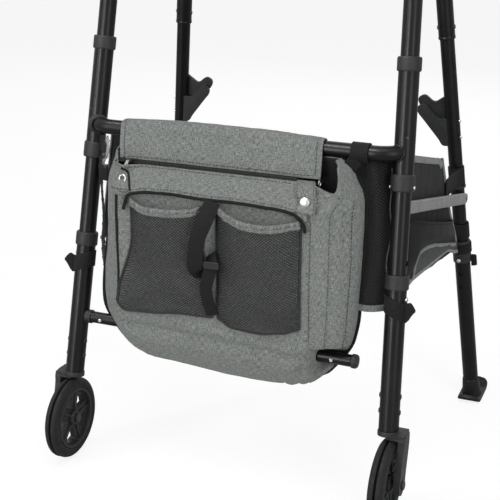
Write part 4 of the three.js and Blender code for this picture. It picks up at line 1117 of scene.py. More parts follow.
def addArm(side, name, centre):
    # a plate beside the wheel with a shoulder that steps over to the tube's foot
    body = f"{name}_front_leg"
    half = wheel["width"] / 2
    foot = legPoint(side, "front", 0.138)
    inner = centre.x + side * (half + 0.004)
    outer = inner + side * 0.009
    outline = [(foot.y - 0.0145, 0.1372), (foot.y - 0.0152, 0.118), (centre.y - 0.0165, centre.z + 0.006),
            (centre.y - 0.0150, centre.z - 0.009), (centre.y, centre.z - 0.017),
            (centre.y + 0.0150, centre.z - 0.009),
            (centre.y + 0.0165, centre.z + 0.006), (foot.y + 0.0152, 0.118), (foot.y + 0.0145, 0.1372)]
    smooth = softened(outline, 0.011, True, 5)
    # plateForm's X and Y become world Y and Z
    matrix = Matrix(((0, 0, 1, (inner + outer) / 2), (1, 0, 0, 0), (0, 1, 0, 0), (0, 0, 0, 1)))
    arm = toObject(f"{name}WheelArm", moved(plateForm(smooth, 0.009), matrix), "mouldedBlack")
    skirt = onLeg(softTurned([(0, heightAlong(side, "front", 0.1305)),
            (0.0154, heightAlong(side, "front", 0.1305)),
            (0.0154, heightAlong(side, "front", 0.1376)), (0.0125, heightAlong(side, "front", 0.1378)),
            (0.0125, heightAlong(side, "front", 0.19)), (0, heightAlong(side, "front", 0.19))],
            0.0006, 48), side, "front")
    left, right = sorted((foot.x, outer - side * 0.001))
    block = [(left, 0.1296), (right, 0.1296), (right, 0.1374), (left, 0.1374)]
    tilt = Matrix(((1, 0, 0, 0), (0, 0, -1, foot.y), (0, 1, 0, 0), (0, 0, 0, 1)))
    booleaned(arm, [moved(plateForm(block, 0.0285), tilt), skirt], "UNION")
    bevelled(arm, 0.0022, 4, 45)
    joinsBody(arm, body, "mouldedBlack", f"{name}_wheel_arm")
    low = centre.x - side * (half + 0.0033)
    high = outer + side * 0.0033
    span = abs(high - low)
    pin = softTurned([(0, 0), (0.0068, 0), (0.0068, 0.0026), (0.0040, 0.0030), (0.0040, span - 0.003),
            (0.0068, span - 0.0028), (0.0062, span), (0.0034, span), (0.003, span - 0.0014),
            (0, span - 0.0014)], 0.0005, 32)
    turn = Matrix.Translation((low, centre.y, centre.z)) @ Matrix.Rotation(side * pi / 2, 4, "Y")
    piece(f"{name}WheelAxle", moved(pin, turn), "dullPin", body, f"{name}_wheel_axle")


glide = {"half": 0.020, "thickness": 0.006}


def addRearLegs():
    look = tubes["rearLeg"]
    for side, name in bothSides:
        body = f"{name}_rear_leg"
        aim = holes["rearTurn"] + 20
        tube = toObject(f"{name}RearLegTube", straightTube(side, "rear", look), "blackCoat")
        booleaned(tube, [sidewaysDrill(side, "rear", height, aim)
                for height in stepHeights(side, "rear", holes["rear"], 3, -1)])
        joinsBody(tube, body, "blackCoat", f"{name}_rear_leg_tube")
        top = heightAlong(side, "rear", 0.290) + 0.0039
        cup = softTurned([(0.0130, top - 0.038), (0.0149, top - 0.038), (0.0149, top - 0.002),
                (0.0139, top),
                (0.0116, top), (0.0116, top - 0.0036), (0.0130, top - 0.0036)], 0.0007, 48)
        collar = toObject(f"{name}RearCollar", onLeg(cup, side, "rear"), "mouldedBlack")
        booleaned(collar, [sidewaysDrill(side, "rear", holes["rear"], aim)])
        joinsBody(collar, body, "mouldedBlack", f"{name}_rear_collar")
        stud = softTurned([(0, 0.0116), (0.0034, 0.0116), (0.0034, 0.0158), (0.0022, 0.0170), (0, 0.0171)],
                0.0008, 24)
        point, way = offLeg(side, "rear", holes["rear"], aim, 0)
        piece(f"{name}RearButton", moved(stud, facing(point, way)), "platedSteel", f"{name}_rear_button",
              f"{name}_rear_button")
        addGlide(side, name)


def addGlide(side, name):
    body = f"{name}_rear_leg"
    foot = legPoint(side, "rear", 0.0)
    bends = ((-0.0345, 0.0125), (-0.0295, 0.0062), (-0.021, 0.0032), (-0.002, 0.0030), (0.024, 0.0030),
            (0.0345, 0.0058), (0.040, 0.0108), (0.0422, 0.0165))
    spine = smoothPath([(foot.x, foot.y + back, up) for back, up in bends], 8)
    stations = []
    for i, (centre, _, _) in enumerate(transported(spine, Vector((1, 0, 0)))):
        before, after = spine[max(i - 1, 0)], spine[min(i + 1, len(spine) - 1)]
        heading = (after - before).normalized()
        share = i / (len(spine) - 1)
        narrow = sqrt(max(1 - abs(2 * share - 1) ** 4.5, 0.0)) * 0.72 + 0.28
        stations.append((centre, Vector((1, 0, 0)) * narrow, heading.cross(Vector((1, 0, 0))) * -1))
    section = roundedBand(glide["half"] * 2, glide["thickness"])
    sole = toObject(f"{name}SkiGlide", sweptForm(stations, section), "glideBlack")
    at = lambda height: heightAlong(side, "rear", height)
    cup = onLeg(softTurned([(0, at(0.003)), (0.0182, at(0.003)), (0.0166, at(0.008)), (0.0152, at(0.016)),
            (0.0144, at(0.027)), (0.0138, at(0.034)), (0.0129, at(0.0355)), (0.0129, at(0.0157)),
            (0.0112, at(0.0157)),
            (0.0112, at(0.056)), (0, at(0.056))], 0.0006, 48), side, "rear")
    booleaned(sole, [cup], "UNION")
    joinsBody(sole, body, "glideBlack", f"{name}_ski_glide")


addFrontLegs()
addWheels()
addRearLegs()
print("lower legs, wheels and glides built")


# bag: one shell lofted through level sections, with seams, sag and folds
bag = {"centre": -0.012, "rearHalf": 0.207, "frontHalf": 0.145, "bottom": 0.186, "rim": 0.479,
        "rearTop": 0.027,
       "rearFoot": 0.049, "panel": 0.098, "rimFront": 0.064, "cornerLift": 0.028, "wall": 0.0024}
# height share, rear width share, front width share, front bulge share
bagSections = [(0.0, 0.70, 0.74, 0.30), (0.05, 0.79, 0.88, 0.64), (0.154, 0.909, 0.975, 0.9),
        (0.222, 0.955, 1.0, 0.985), (0.396, 0.984, 1.0, 1.0), (0.672, 0.995, 1.0, 1.0),
        (0.894, 0.988, 1.0, 1.0), (0.956, 0.966, 1.0, 0.48), (1.0, 0.93, 1.0, 0.0), (1.055, 0.89, 1.0, 0.0),
        (1.1, 0.80, 1.0, 0.0)]
bagShape = {"leftNarrowing": 0.092, "leftFlat": 0.78, "flare": 0.21, "flareBack": 0.11, "sag": 0.0095}


def riseAt(z):
    return (z - bag["bottom"]) / (bag["rim"] - bag["bottom"])


def leftShare(rise):
    # the left side is narrower towards the top
    return 1.01 - bagShape["leftNarrowing"] * smoothStep(0.1, 0.75, rise)


def cornerFlare(rise):
    # the right front corner stands out near the rim
    return bagShape["flare"] * smoothStep(0.86, 0.99, rise) - bagShape["flareBack"] * smoothStep(1.0, 1.1,
            rise)


def flared(share, rise):
    return share * (1 + cornerFlare(rise) * smoothStep(0.5, 1.0, share))


def solved(find, wanted, low, high):
    # the place between low and high where a rising function reaches a wanted value
    for _ in range(30):
        middle = (low + high) / 2
        if find(middle) < wanted:
            low = middle
        else:
            high = middle
    return (low + high) / 2


def sideCurve(around, flat):
    # how far out and how far forward a side runs, between a round and a flat form
    angle = around * pi / 2
    return cos(angle) * (1 - flat) + (1 - around) * flat, sin(angle) * (1 - flat) + around * flat


def sectionAt(rise):
    rise = min(max(rise, 0.0), 1.1)
    for i in range(len(bagSections) - 1):
        low, high = bagSections[i], bagSections[i + 1]
        if rise <= high[0]:
            t = (rise - low[0]) / (high[0] - low[0])
            before = bagSections[max(i - 1, 0)]
            after = bagSections[min(i + 2, len(bagSections) - 1)]
            values = []
            for k in (1, 2, 3):
                span = high[0] - low[0]
                slopeLow = (high[k] - before[k]) / (high[0] - before[0]) * span
                slopeHigh = (after[k] - low[k]) / (after[0] - low[0]) * span
                if low[k] == high[k]:
                    slopeLow = slopeHigh = 0
                value = ((2 * t ** 3 - 3 * t * t + 1) * low[k] + (t ** 3 - 2 * t * t + t) * slopeLow
                        + (3 * t * t - 2 * t ** 3) * high[k] + (t ** 3 - t * t) * slopeHigh)
                values.append(value)
            return values
    return list(bagSections[-1][1:])


def bagBase(rise, around):
    # around: 0-1 right side from the rear, 1-2 front, 2-3 left side, 3-4 rear wall
    rear, front, bulge = sectionAt(rise)
    rear *= bag["rearHalf"]
    leftRear = rear * leftShare(rise)
    front *= bag["frontHalf"]
    z = bag["bottom"] + (bag["rim"] - bag["bottom"]) * rise
    rearward = bag["rearFoot"] + (bag["rearTop"] - bag["rearFoot"]) * min(rise, 1.0)
    corner = max(1 - smoothStep(1.0, 1.13, around), smoothStep(1.87, 2.0, around) * (around < 3.2))
    bulge = max(bulge, 0.5 * corner * smoothStep(0.85, 0.95, rise)) - smoothStep(1.0, 1.1,
            rise) * (around < 1.2)
    forward = bag["rimFront"] + (bag["panel"] - bag["rimFront"]) * min(bulge, 1.04)
    if 1 <= around <= 2:
        x = bag["centre"] + front * flared(3 - 2 * around, rise)
    elif around > 3:
        x = bag["centre"] - leftRear + (rear + leftRear) * (around - 3)
        forward = rearward
    elif around > 2:
        out, ahead1 = sideCurve(3 - around, bagShape["leftFlat"])
        x = bag["centre"] - front - (leftRear - front) * out
        forward = rearward + (forward - rearward) * ahead1
    else:
        out, ahead1 = sideCurve(around, 0)
        corner = front * (1 + cornerFlare(rise))
        x = bag["centre"] + corner + (rear - corner) * out
        forward = rearward + (forward - rearward) * ahead1
    sag = bagShape["sag"] * (1 - smoothStep(0.0, 0.4, rise)) * bell(x, 0.045, 0.13)
    return ahead(x, forward, z - sag)


def bagRelief(rise, around, spot):
    # how far the cloth stands out of its plain form
    x, z = spot.x, spot.z
    out = 0.0016 * wander(x * 16, around * 2.0, z * 16)
    out += 0.0008 * wander(x * 45, 7 + around * 4.0, z * 40)
    if around < 1 or 2 < around < 3:
        across = around if around < 1 else 3 - around
        for seam in (0.335, 0.665, 0.985):
            out -= 0.0022 * bell(across, seam, 0.022)
        out += 0.0026 * sin(pi * min(across, 1.0)) * smoothStep(0.1, 0.3, rise)
        out += 0.0014 * wander(across * 7, 3.1, z * 9)
    if 1 <= around <= 2:
        edge = min(around - 1, 2 - around)
        out -= 0.0016 * bell(edge, 0.0, 0.012)
        fold = 0.243 - 0.010 * smoothStep(-0.1, 0.15, x)
        out -= 0.0042 * bell(z, fold, 0.004)
        out += 0.0046 * bell(z, fold - 0.021, 0.014) * smoothStep(0, 0.06, edge)
        out += 0.0020 * bell(z, fold + 0.012, 0.008)
    # pulled folds round the place where the bar leaves the cloth
    away = hypot(x - 0.134, z - 0.229)
    turn = atan2(z - 0.229, x - 0.134)
    out += 0.0022 * bell(away, 0.018, 0.016) * sin(turn * 7 + 0.6) * (0 < around < 1.6)
    return out


def bagPoint(rise, around):
    spot = bagBase(rise, around)
    step = 1e-3
    alongUp = bagBase(min(rise + step, 1.1), around) - bagBase(max(rise - step, 0.0), around)
    alongRound = bagBase(rise, min(around + step, 4.0)) - bagBase(rise, max(around - step, 0.0))
    normal = alongUp.cross(alongRound)
    if normal.length > 1e-12:
        normal.normalize()
    outward = Vector((spot.x - bag["centre"], spot.y - (frontLine - 0.055), 0))
    if normal.dot(outward) < 0:
        normal.negate()
    spot = spot + normal * bagRelief(rise, around, spot)
    # the right corner is pressed in behind the free end of the lower bar
    if spot.x > 0.12 and around < 1.4:
        forward = frontLine - spot.y
        pressed = smoothStep(0.133, 0.145, spot.x) * exp(-((spot.z - 0.223) / 0.021) ** 4)
        target = min(forward, 0.046)
        spot.y = frontLine - (forward + (target - forward) * pressed)
    return spot


def topRise(around):
    # the cloth stands higher at its rear corners, past the flap's ends
    if around <= 1:
        share = 1 - 1.24 * smoothStep(0.55, 1.0, around)
    elif around <= 2:
        share = -0.24 * (1 - smoothStep(1.0, 1.1, around))
    elif around <= 3:
        share = smoothStep(0.25, 1.0, around - 2) * 0.6
    else:
        x = bag["centre"] + bag["rearHalf"] * 0.9 * (2 * (around - 3) - 1)
        share = max(smoothStep(0.098, 0.116, x), 0.6 * (1 - smoothStep(-0.193, -0.182, x)))
    return 1.0 + share * bag["cornerLift"] / (bag["rim"] - bag["bottom"])


def addBagShell():
    stations = [k / 20 for k in range(20)] + [1 + k / 64 for k in range(64)]
    stations += [2 + k / 20 for k in range(20)] + [3 + k / 44 for k in range(44)]
    levels = 84
    rows = []
    for level in range(levels + 1):
        share = level / levels
        rows.append([bagPoint(share * topRise(around), around) for around in stations])
    shell = clothGrid("bagShell", rows, "greyMelange", "front_frame", "bag_body", thickness=bag["wall"],
            wrap=True,
            lining="blackNylon", cap=True)
    work = bmesh.new()
    work.from_mesh(shell.data)
    bmesh.ops.recalc_face_normals(work, faces=work.faces)
    # an open tub can come out turned in, so the front face decides
    front = min(work.faces, key=lambda f: f.calc_center_median().y)
    if front.normal.y > 0:
        bmesh.ops.reverse_faces(work, faces=work.faces)
    work.to_mesh(shell.data)
    work.free()


def onBag(x, z, lift=0.0):
    # a place on the front of the bag at a given x and height, lifted off the cloth
    rise = riseAt(z)
    front = sectionAt(rise)[1] * bag["frontHalf"]
    across = (x - bag["centre"]) / front
    rear = sectionAt(rise)[0] * bag["rearHalf"]
    if -1 <= across <= 1 + cornerFlare(rise):
        around = 1.5 - solved(lambda share: flared(share, rise), across, -1, 1) / 2
    elif across > 0:
        corner = front * (1 + cornerFlare(rise))
        cosine = min((x - bag["centre"] - corner) / max(rear - corner, 1e-6), 1.0)
        around = acos(cosine) / (pi / 2)
    else:
        rear *= leftShare(rise)
        share = min((bag["centre"] - x - front) / max(rear - front, 1e-6), 1.0)
        around = 2 + solved(lambda t: sideCurve(1 - t, bagShape["leftFlat"])[0], share, 0, 1)
    spot = bagPoint(rise, around)
    return Vector((spot.x, spot.y - lift, z))


def bindingAlong(name, path, width, thickness, finish, body, faceWay=(0, -1, 0)):
    # a flat band along a path, lying in the cloth
    stations = []
    face = Vector(faceWay).normalized()
    for i, centre in enumerate(path):
        heading = (path[min(i + 1, len(path) - 1)] - path[max(i - 1, 0)]).normalized()
        up = (face - heading * face.dot(heading)).normalized()
        stations.append((centre, heading.cross(up), up))
    return strapPiece(name, stations, width, thickness, finish, body)


def addBagSeams():
    stitches = []
    for around in (0.335, 0.665):
        path = [bagPoint(0.2 + 0.74 * k / 60, around + 0.024) for k in range(61)]
        way = Vector((cos(around * pi / 2), -sin(around * pi / 2), 0))
        stitches.append(stitchForm([p + way * 0.0004 for p in path], way))
    path = [onBag(0.1375, 0.26 + 0.18 * k / 40, 0.0005) for k in range(41)]
    stitches.append(stitchForm(path, Vector((0, -1, 0))))
    # a black strip down the left front corner: painted shade in the gap where the front panel's edge meets
    # the side
    corner = smoothPath([onBag(x, z, 0.0006) for x,
            z in ((-0.1535, 0.4480), (-0.1555, 0.4200), (-0.1565, 0.3830),
            (-0.1580, 0.3260), (-0.1600, 0.2900), (-0.1640, 0.2720))], 8)
    bindingAlong("bagCornerShadeLine", evenly(corner, 0.003), 0.0046, 0.0022, "blackWebbing", "front_frame",
            (-0.2, -1, 0))
    for around in (2.335, 2.665):
        path = [bagPoint(0.2 + 0.74 * k / 60, around) for k in range(61)]
        mirrored = 3 - around
        way = Vector((-cos(mirrored * pi / 2), -sin(mirrored * pi / 2), 0))
        stitches.append(stitchForm([p + way * 0.0004 for p in path], way))
    piece("bagSeamStitches", together(*stitches), "darkStitch", "front_frame")
    # black binding round the rear edge: up both sides and under the foot
    rim = [bagPoint(topRise(0) * (1 - k / 60), 0) for k in range(58)]
    under = [bagPoint(0.01, 3 + (1 - k / 24)) + Vector((0, 0, -0.001)) for k in range(1, 24)]
    left = [bagPoint(topRise(3) * (k / 60), 3) for k in range(3, 61)]
    path = evenly(rim + under + left, 0.006)
    stations = transported(path, Vector((1, 0, 0)))
    strapPiece("bagRearBinding", stations, 0.0080, 0.0048, "blackWebbing", "front_frame")


addBagShell()
addBagSeams()
print("bag shell built")


# flap over the crossbar
flap = {"left": -0.1785, "right": 0.131, "thickness": 0.0022, "frontFoot": (0.050, 0.4805),
        "rearFoot": (0.027, 0.4795),
        "round": 0.0139, "centre": 0.022}


def flapLine(x):
    # the flap's section at one x, from its rear foot over the bar to its front foot
    radius = flap["round"]
    middle = Vector((flap["centre"], crossbarHeight))
    rear = Vector(flap["rearFoot"])
    droop = 0.004 * (1 - smoothStep(-0.177, -0.160, x))
    foot = Vector((flap["frontFoot"][0] + 0.6 * droop, flap["frontFoot"][1] - droop))
    points = []

    def tangentAngle(spot, turn):
        away = spot - middle
        return atan2(away.y, away.x) + turn * acos(min(radius / away.length, 1.0))

    # angles are measured in (forward, up)
    rearAngle = tangentAngle(rear, -1) % (2 * pi)
    frontAngle = tangentAngle(foot, 1)
    rearSpot = middle + Vector((cos(rearAngle), sin(rearAngle))) * radius
    frontSpot = middle + Vector((cos(frontAngle), sin(frontAngle))) * radius
    for k in range(10):
        points.append(rear.lerp(rearSpot, k / 10))
    for k in range(17):
        angle = rearAngle + (frontAngle - rearAngle) * k / 16
        points.append(middle + Vector((cos(angle), sin(angle))) * radius)
    for k in range(1, 17):
        points.append(frontSpot.lerp(foot, k / 16))
    return points


def flapPoint(x, share):
    line = flapLine(x)
    at = share * (len(line) - 1)
    low = min(int(at), len(line) - 2)
    forward, up = line[low].lerp(line[low + 1], at - low)
    wave = 0.0011 * wander(x * 22, share * 2.2, 1.7) + 0.0005 * wander(x * 70, share * 6, 5)
    sag = 0.0016 * sin(pi * smoothStep(0.62, 1.0, share)) * (0.5 + wander(x * 9, 2.0, 0))
    along = (x - flap["left"]) / (flap["right"] - flap["left"])
    puff = 0.0065 * sin(pi * min(max(along, 0), 1)) ** 0.6 * bell(share, 0.44, 0.16)
    lift = wave * smoothStep(0.0, 0.3, share) + puff
    return ahead(x, forward + sag + lift * 0.7, up + lift)


def addFlap():
    columns = 120
    shares = [k / 84 for k in range(85)]
    rows = []
    for share in shares:
        row = []
        for c in range(columns + 1):
            x = flap["left"] + (flap["right"] - flap["left"]) * c / columns
            slant = 0.0055 * smoothStep(0.5, 1.0, share) * (1 - c / columns) ** 3
            slant += 0.003 * smoothStep(0.5, 1.0, share) * (c / columns) ** 3
            spot = flapPoint(x, share)
            spot.x += slant
            row.append(spot)
        rows.append(row)
    cloth = clothGrid("bagFlap", rows, "greyMelange", "front_frame", "bag_flap",
            thickness=flap["thickness"],
            outward=(0, 0, 1))
    edge = cloth.modifiers.new("softEdge", "BEVEL")
    edge.width = 0.0007
    edge.segments = 2
    edge.limit_method = "ANGLE"
    edge.angle_limit = radians(60)
    # stitch lines inside three edges
    stitches = []
    for c in (3, columns - 3):
        path = [rows[k][c] + Vector((0, -0.0003, 0.0004)) for k in range(14, 84)]
        ways = [Vector((0, -sin(min(k / 40, 1) * 1.4), cos(min(k / 40, 1) * 1.4))) for k in range(14, 84)]
        stitches.append(stitchForm(path, ways))
    path = [rows[81][c] + Vector((0, -0.0005, 0.0002)) for c in range(3, columns - 2)]
    stitches.append(stitchForm(path, Vector((0, -0.8, 0.4))))
    piece("flapStitches", together(*stitches), "darkStitch", "front_frame")


# band below the zip, zip, snap strap and tab
band = {"left": -0.156, "right": 0.134, "lift": 0.0024, "thickness": 0.002}
bandFoot = [(-0.156, 0.4400), (-0.136, 0.4410), (-0.126, 0.4465), (-0.105, 0.4500), (-0.07, 0.4510),
        (-0.016, 0.4500),
        (0.038, 0.4505), (0.091, 0.4490), (0.112, 0.4465), (0.124, 0.4400), (0.134, 0.4330)]


def bandFootAt(x):
    for (x0, z0), (x1, z1) in zip(bandFoot, bandFoot[1:]):
        if x <= x1:
            return z0 + (z1 - z0) * smoothStep(x0, x1, x)
    return bandFoot[-1][1]


def addBand():
    columns = 110
    rows = []
    for r in range(25):
        share = r / 24
        row = []
        for c in range(columns + 1):
            x = band["left"] + (band["right"] - band["left"]) * c / columns
            low = bandFootAt(x)
            z = low + (0.4785 - low) * share
            spot = onBag(x, z)
            swell = band["lift"] + 0.0022 * bell(share, 0.15, 0.25) + 0.0012 * wander(x * 30, share * 3, 9)
            row.append(spot + Vector((0, -swell, 0.3 * swell)))
        rows.append(row)
    clothGrid("bagBand", rows, "greyMelange", "front_frame", thickness=band["thickness"],
            outward=(0, -1, 0))
    # dark binding hangs below the band over both pocket mouths; it is drawn wider than the binding to take
    # in the shadow under the band's edge, and it runs down at both ends, the drop at the right end being
    # painted shade down the corner beside the net
    path = [rows[0][c] + Vector((0, -0.0003, -0.0014)) for c in range(6, columns - 2)]
    drop = path[-1] + Vector((0.0035, 0.0015, -0.010))
    path = path + [drop, drop + Vector((0.001, 0.001, -0.012))]
    path = [path[0] + Vector((-0.002, 0.001, -0.020)), path[0] + Vector((-0.0025, 0, -0.009))] + path
    bindingAlong("bandBindingAndShade", evenly(smoothPath(path[::4] + [path[-1]], 6), 0.003), 0.0046, 0.0026,
            "blackWebbing", "front_frame")
    stitches = [stitchForm([rows[3][c] + Vector((0, -0.0004, 0)) for c in range(4, columns - 3)],
            Vector((0, -1, 0.2))),
            stitchForm([rows[22][c] + Vector((0, -0.0004, 0)) for c in range(4, columns - 12)],
            Vector((0, -0.7, 0.7)))]
    piece("bandStitches", together(*stitches), "darkStitch", "front_frame")


zipLine = {"left": -0.174, "right": 0.104, "pitch": 0.0030}


def addZip():
    # two black tapes with a row of teeth each, parted along the mouth
    for label, forward, height, lean in (("Front", 0.0605, 0.4792, 0.5), ("Rear", 0.0525, 0.4800, -0.3)):
        path = [ahead(zipLine["left"] + (zipLine["right"] - zipLine["left"]) * k / 60, forward, height)
                for k in range(61)]
        stations = [(p, Vector((0, 1, 0.15)).normalized(), Vector((0, -0.15, 1)).normalized())
                for p in path]
        strapPiece(f"zipTape{label}", stations, 0.0062, 0.0011, "blackWebbing", "front_frame")
        tooth = plateForm([(-0.0009, -0.0010), (0.0009, -0.0010), (0.0009, 0.0010), (-0.0009, 0.0010)],
                0.0013)
        inward = 0.0034 if label == "Front" else -0.0034
        forms = []
        count = int((zipLine["right"] - zipLine["left"]) / zipLine["pitch"])
        for k in range(count):
            x = zipLine["left"] + k * zipLine["pitch"] + (0.0015 if label == "Rear" else 0)
            forms.append(moved(tooth, Matrix.Translation(ahead(x, forward - inward, height + 0.0004))))
        piece(f"zipTeeth{label}", together(*forms), "dullPin", "front_frame")


def addSlider():
    middle = Vector((-0.150, frontLine - 0.0625, 0.4795))
    body = plateForm(softened([(-0.005, -0.0036), (0.005, -0.0030), (0.005, 0.0030),
            (-0.005, 0.0036)], 0.002, True, 3), 0.0044)
    head = toObject("zipSlider", moved(body, Matrix.Translation(middle + Vector((0, 0, 0.0026)))),
            "dullPin")
    # a tongue on a ring, lying down the slope of the bag
    slope = Vector((0, -0.74, -0.67)).normalized()
    ring = []
    for i in range(20):
        turn = 2 * pi * i / 20
        ring.append(middle + Vector((0, -0.003, 0.0035)) + Vector((cos(turn) * 0.0021, 0, 0))
                + slope * sin(turn) * 0.0025)
    stations = [(ring[i], (ring[i] - ring[(i + 10) % 20]).normalized(),
            (ring[(i + 1) % 20] - ring[i - 1]).normalized().cross((ring[i] - ring[(i
            + 10) % 20]).normalized()))
            for i in range(20)]
    wire = sweptForm(stations, circleSection(0.0006, 8), closed=True)
    tongue = plateForm(softened([(-0.0022, 0), (0.0022, 0), (0.0029, 0.0125), (-0.0029, 0.0125)],
            0.002, True, 4), 0.0013)
    normal = Vector((0, -0.67, 0.74))
    matrix = Matrix((Vector((1, 0, 0)), slope, normal)).transposed().to_4x4()
    matrix.translation = middle + Vector((0, -0.0045, 0.0028)) + normal * 0.0010
    booleaned(head, [wire, moved(tongue, matrix)], "UNION")
    bevelled(head, 0.0004, 2, 50)
    joinsBody(head, "zip_pull", "dullPin", "zip_slider")


def snapForm(radius, ringOnly=False):
    if ringOnly:
        return softTurned([(radius * 0.62, 0), (radius, 0), (radius, radius * 0.16),
                (radius * 0.84, radius * 0.32),
                (radius * 0.68, radius * 0.2), (radius * 0.62, radius * 0.05)], radius * 0.08, 40)
    return softTurned([(0, -0.0008), (radius, -0.0008), (radius, radius * 0.14),
            (radius * 0.86, radius * 0.3),
            (radius * 0.45, radius * 0.42), (0, radius * 0.46)], radius * 0.12, 40)


def addTabs():
    # right strap with a domed snap: comes from under the flap down over the band
    path = [ahead(0.1125, 0.050, 0.4775), ahead(0.1175, 0.062, 0.4790), ahead(0.1215, 0.073, 0.4775),
            ahead(0.1262, 0.0875, 0.4695)]
    path += [onBag(x, z, 0.0062) for x, z in ((0.1295, 0.462), (0.1305, 0.453), (0.131, 0.4470))]
    smooth = smoothPath(path, 7)
    rows = []
    for spot in smooth:
        rows.append([spot + Vector((0.0142 * (k / 6 - 1), -0.0006 * sin(pi * k / 12), 0))
                for k in range(13)])
    clothGrid("rightSnapStrap", rows, "greyMelange", "front_frame", thickness=0.0026, outward=(0, -1, 0))
    stitches = [stitchForm([row[c] + Vector((0, -0.0004, 0.0003)) for row in rows[3:]],
            Vector((0, -0.9, 0.3)))
            for c in (1, 11)]
    stitches.append(stitchForm([p + Vector((0, -0.0004, 0)) for p in rows[-2][1:12]], Vector((0, -1, 0))))
    piece("rightSnapStitches", together(*stitches), "darkStitch", "front_frame")
    dome = onBag(0.1285, 0.4605, 0.0088)
    piece("rightSnapDome", moved(snapForm(0.0072), facing(dome, (0.03, -1, 0.12))), "platedSteel",
            "front_frame")
    # left tab with a ring snap: a short strap over the rim at the corner of the bag
    rows = []
    for r in range(15):
        v = r / 14
        z = 0.4495 + 0.0275 * v
        left = -0.1600 - 0.0140 * v
        right = -0.1310 - 0.0190 * v ** 1.2 - 0.004 * smoothStep(0.8, 1.0, v)
        rows.append([onBag(left + (right - left) * c / 12, z, 0.0054) for c in range(13)])
    clothGrid("leftTab", rows, "greyMelange", "front_frame", thickness=0.0026, outward=(0, -1, 0))
    # a black strip down the tab's right edge: painted shadow of the tab's edge
    edge = [row[-1] + Vector((0.0010, 0.0006, 0)) for row in rows]
    bindingAlong("leftTabEdgeShadow", evenly(edge, 0.002), 0.0030, 0.0026, "blackWebbing", "front_frame")
    foot = [p + Vector((0, -0.0002, 0.0016)) for p in rows[0]]
    piece("leftTabStitches", stitchForm(foot, Vector((0, -1, 0))), "darkStitch", "front_frame")
    ring = onBag(-0.1472, 0.4625, 0.0058)
    way = (-0.12, -1, 0.35)
    piece("leftSnapRing", moved(snapForm(0.0062, True), facing(ring, way)), "platedSteel", "front_frame")
    pin = softTurned([(0, -0.001), (0.0042, -0.001), (0.0042, 0.0004), (0, 0.0009)], 0.0004, 24)
    piece("leftSnapPin", moved(pin, facing(ring, way)), "dullPin", "front_frame")
    # a small ring at the right end of the zip
    hook = []
    for i in range(24):
        turn = 2 * pi * i / 24
        hook.append(ahead(0.1375, 0.062 + 0.0042 * cos(turn), 0.4790 + 0.0042 * sin(turn)))
    stations = [(hook[i], Vector((1, 0, 0)),
            (hook[(i + 1) % 24] - hook[i - 1]).normalized().cross(Vector((1, 0, 0))))
            for i in range(24)]
    piece("zipEndRing", sweptForm(stations, circleSection(0.0008, 8), closed=True), "platedSteel",
            "front_frame")


addFlap()
addBand()
addZip()
addSlider()
addTabs()
print("flap, band, zip and snaps built")


# net pockets, net wing and the webbing between
net = {"pitch": 0.0034, "yarn": 0.00058, "cover": 0.72}


def netForm(surface, width, height, pitch=net["pitch"]):
    # diagonal yarns both ways over a surface given in metres across and up
    step = pitch * 2
    forms = []
    section = [(net["yarn"], 0), (0, net["yarn"] * 0.55), (-net["yarn"], 0), (0, -net["yarn"] * 0.55)]
    for lean in (-1, 1):
        offset = -height if lean > 0 else 0.0
        count = int((width + height) / (pitch * 1.3))
        for k in range(1, count):
            base = offset + k * pitch * 1.3
            run = []
            v = 0.0
            while v <= height + 1e-9:
                u = base + lean * v
                if 0 <= u <= width:
                    run.append((u, v))
                elif len(run) > 1:
                    forms.append(yarnForm(surface, run, section, lean))
                    run = []
                else:
                    run = []
                v += step / 2
            if len(run) > 1:
                forms.append(yarnForm(surface, run, section, lean))
    return together(*forms)


def yarnForm(surface, run, section, lean):
    path = [surface(u, v) for u, v in run]
    u, v = run[len(run) // 2]
    small = 0.002
    normal = (surface(u + small, v) - surface(u - small, v)).cross(surface(u, v + small) - surface(u,
            v - small))
    normal.normalize()
    stations = []
    for i, centre in enumerate(path):
        heading = (path[min(i + 1, len(path) - 1)] - path[max(i - 1, 0)]).normalized()
        side = heading.cross(normal).normalized()
        stations.append((centre + normal * 0.00022 * lean, side, normal))
    return sweptForm(stations, section)


netPockets = {
    "left": {"left": -0.131, "right": -0.021, "bulge": 0.021, "flare": 0.030, "lean": 0.015,
        "foot": [(0.0, 0.2720), (0.1, 0.2660), (0.3, 0.2680), (0.75, 0.2750), (1.0, 0.2750)],
        "hem": [(0.0, 0.4345), (0.25, 0.4295), (0.6, 0.4305), (0.88, 0.4320), (1.0, 0.4355)]},
    "right": {"left": 0.002, "right": 0.1245, "bulge": 0.025, "flare": 0.0, "lean": 0.0,
        "foot": [(0.0, 0.2740), (0.2, 0.2650), (0.5, 0.2640), (0.8, 0.2690), (1.0, 0.2770)],
        "hem": [(0.0, 0.4400), (0.18, 0.4335), (0.42, 0.4290), (0.68, 0.4275), (1.0, 0.4315)]},
}


def heightOn(points, share):
    for (s0, z0), (s1, z1) in zip(points, points[1:]):
        if share <= s1:
            return z0 + (z1 - z0) * smoothStep(s0, s1, share)
    return points[-1][1]


def pocketSurface(look):
    width = look["right"] - look["left"]

    def surface(u, v):
        # u across and v up in metres of the flat net
        share = min(max(u / width, -0.05), 1.05)
        foot = heightOn(look["foot"], share)
        up = v / 0.172
        z = foot + (heightOn(look["hem"], share) - foot) * up
        spread = smoothStep(0.30, 1.0, 1 - up)
        x = look["left"] - look["flare"] * spread * (1 - share)
        x = x + width * share + look["lean"] * spread * share
        bow = sin(pi * min(max(share, 0), 1)) ** 0.75
        low = smoothStep(-0.02, 0.34, up)
        out = look["bulge"] * bow * (0.16 + 0.84 * low)
        out += 0.0022 * wander(x * 26, z * 20, 4.0) * bow
        spot = onBag(x, max(z, 0.2))
        return Vector((spot.x, spot.y - 0.0012 - out, z))

    return surface


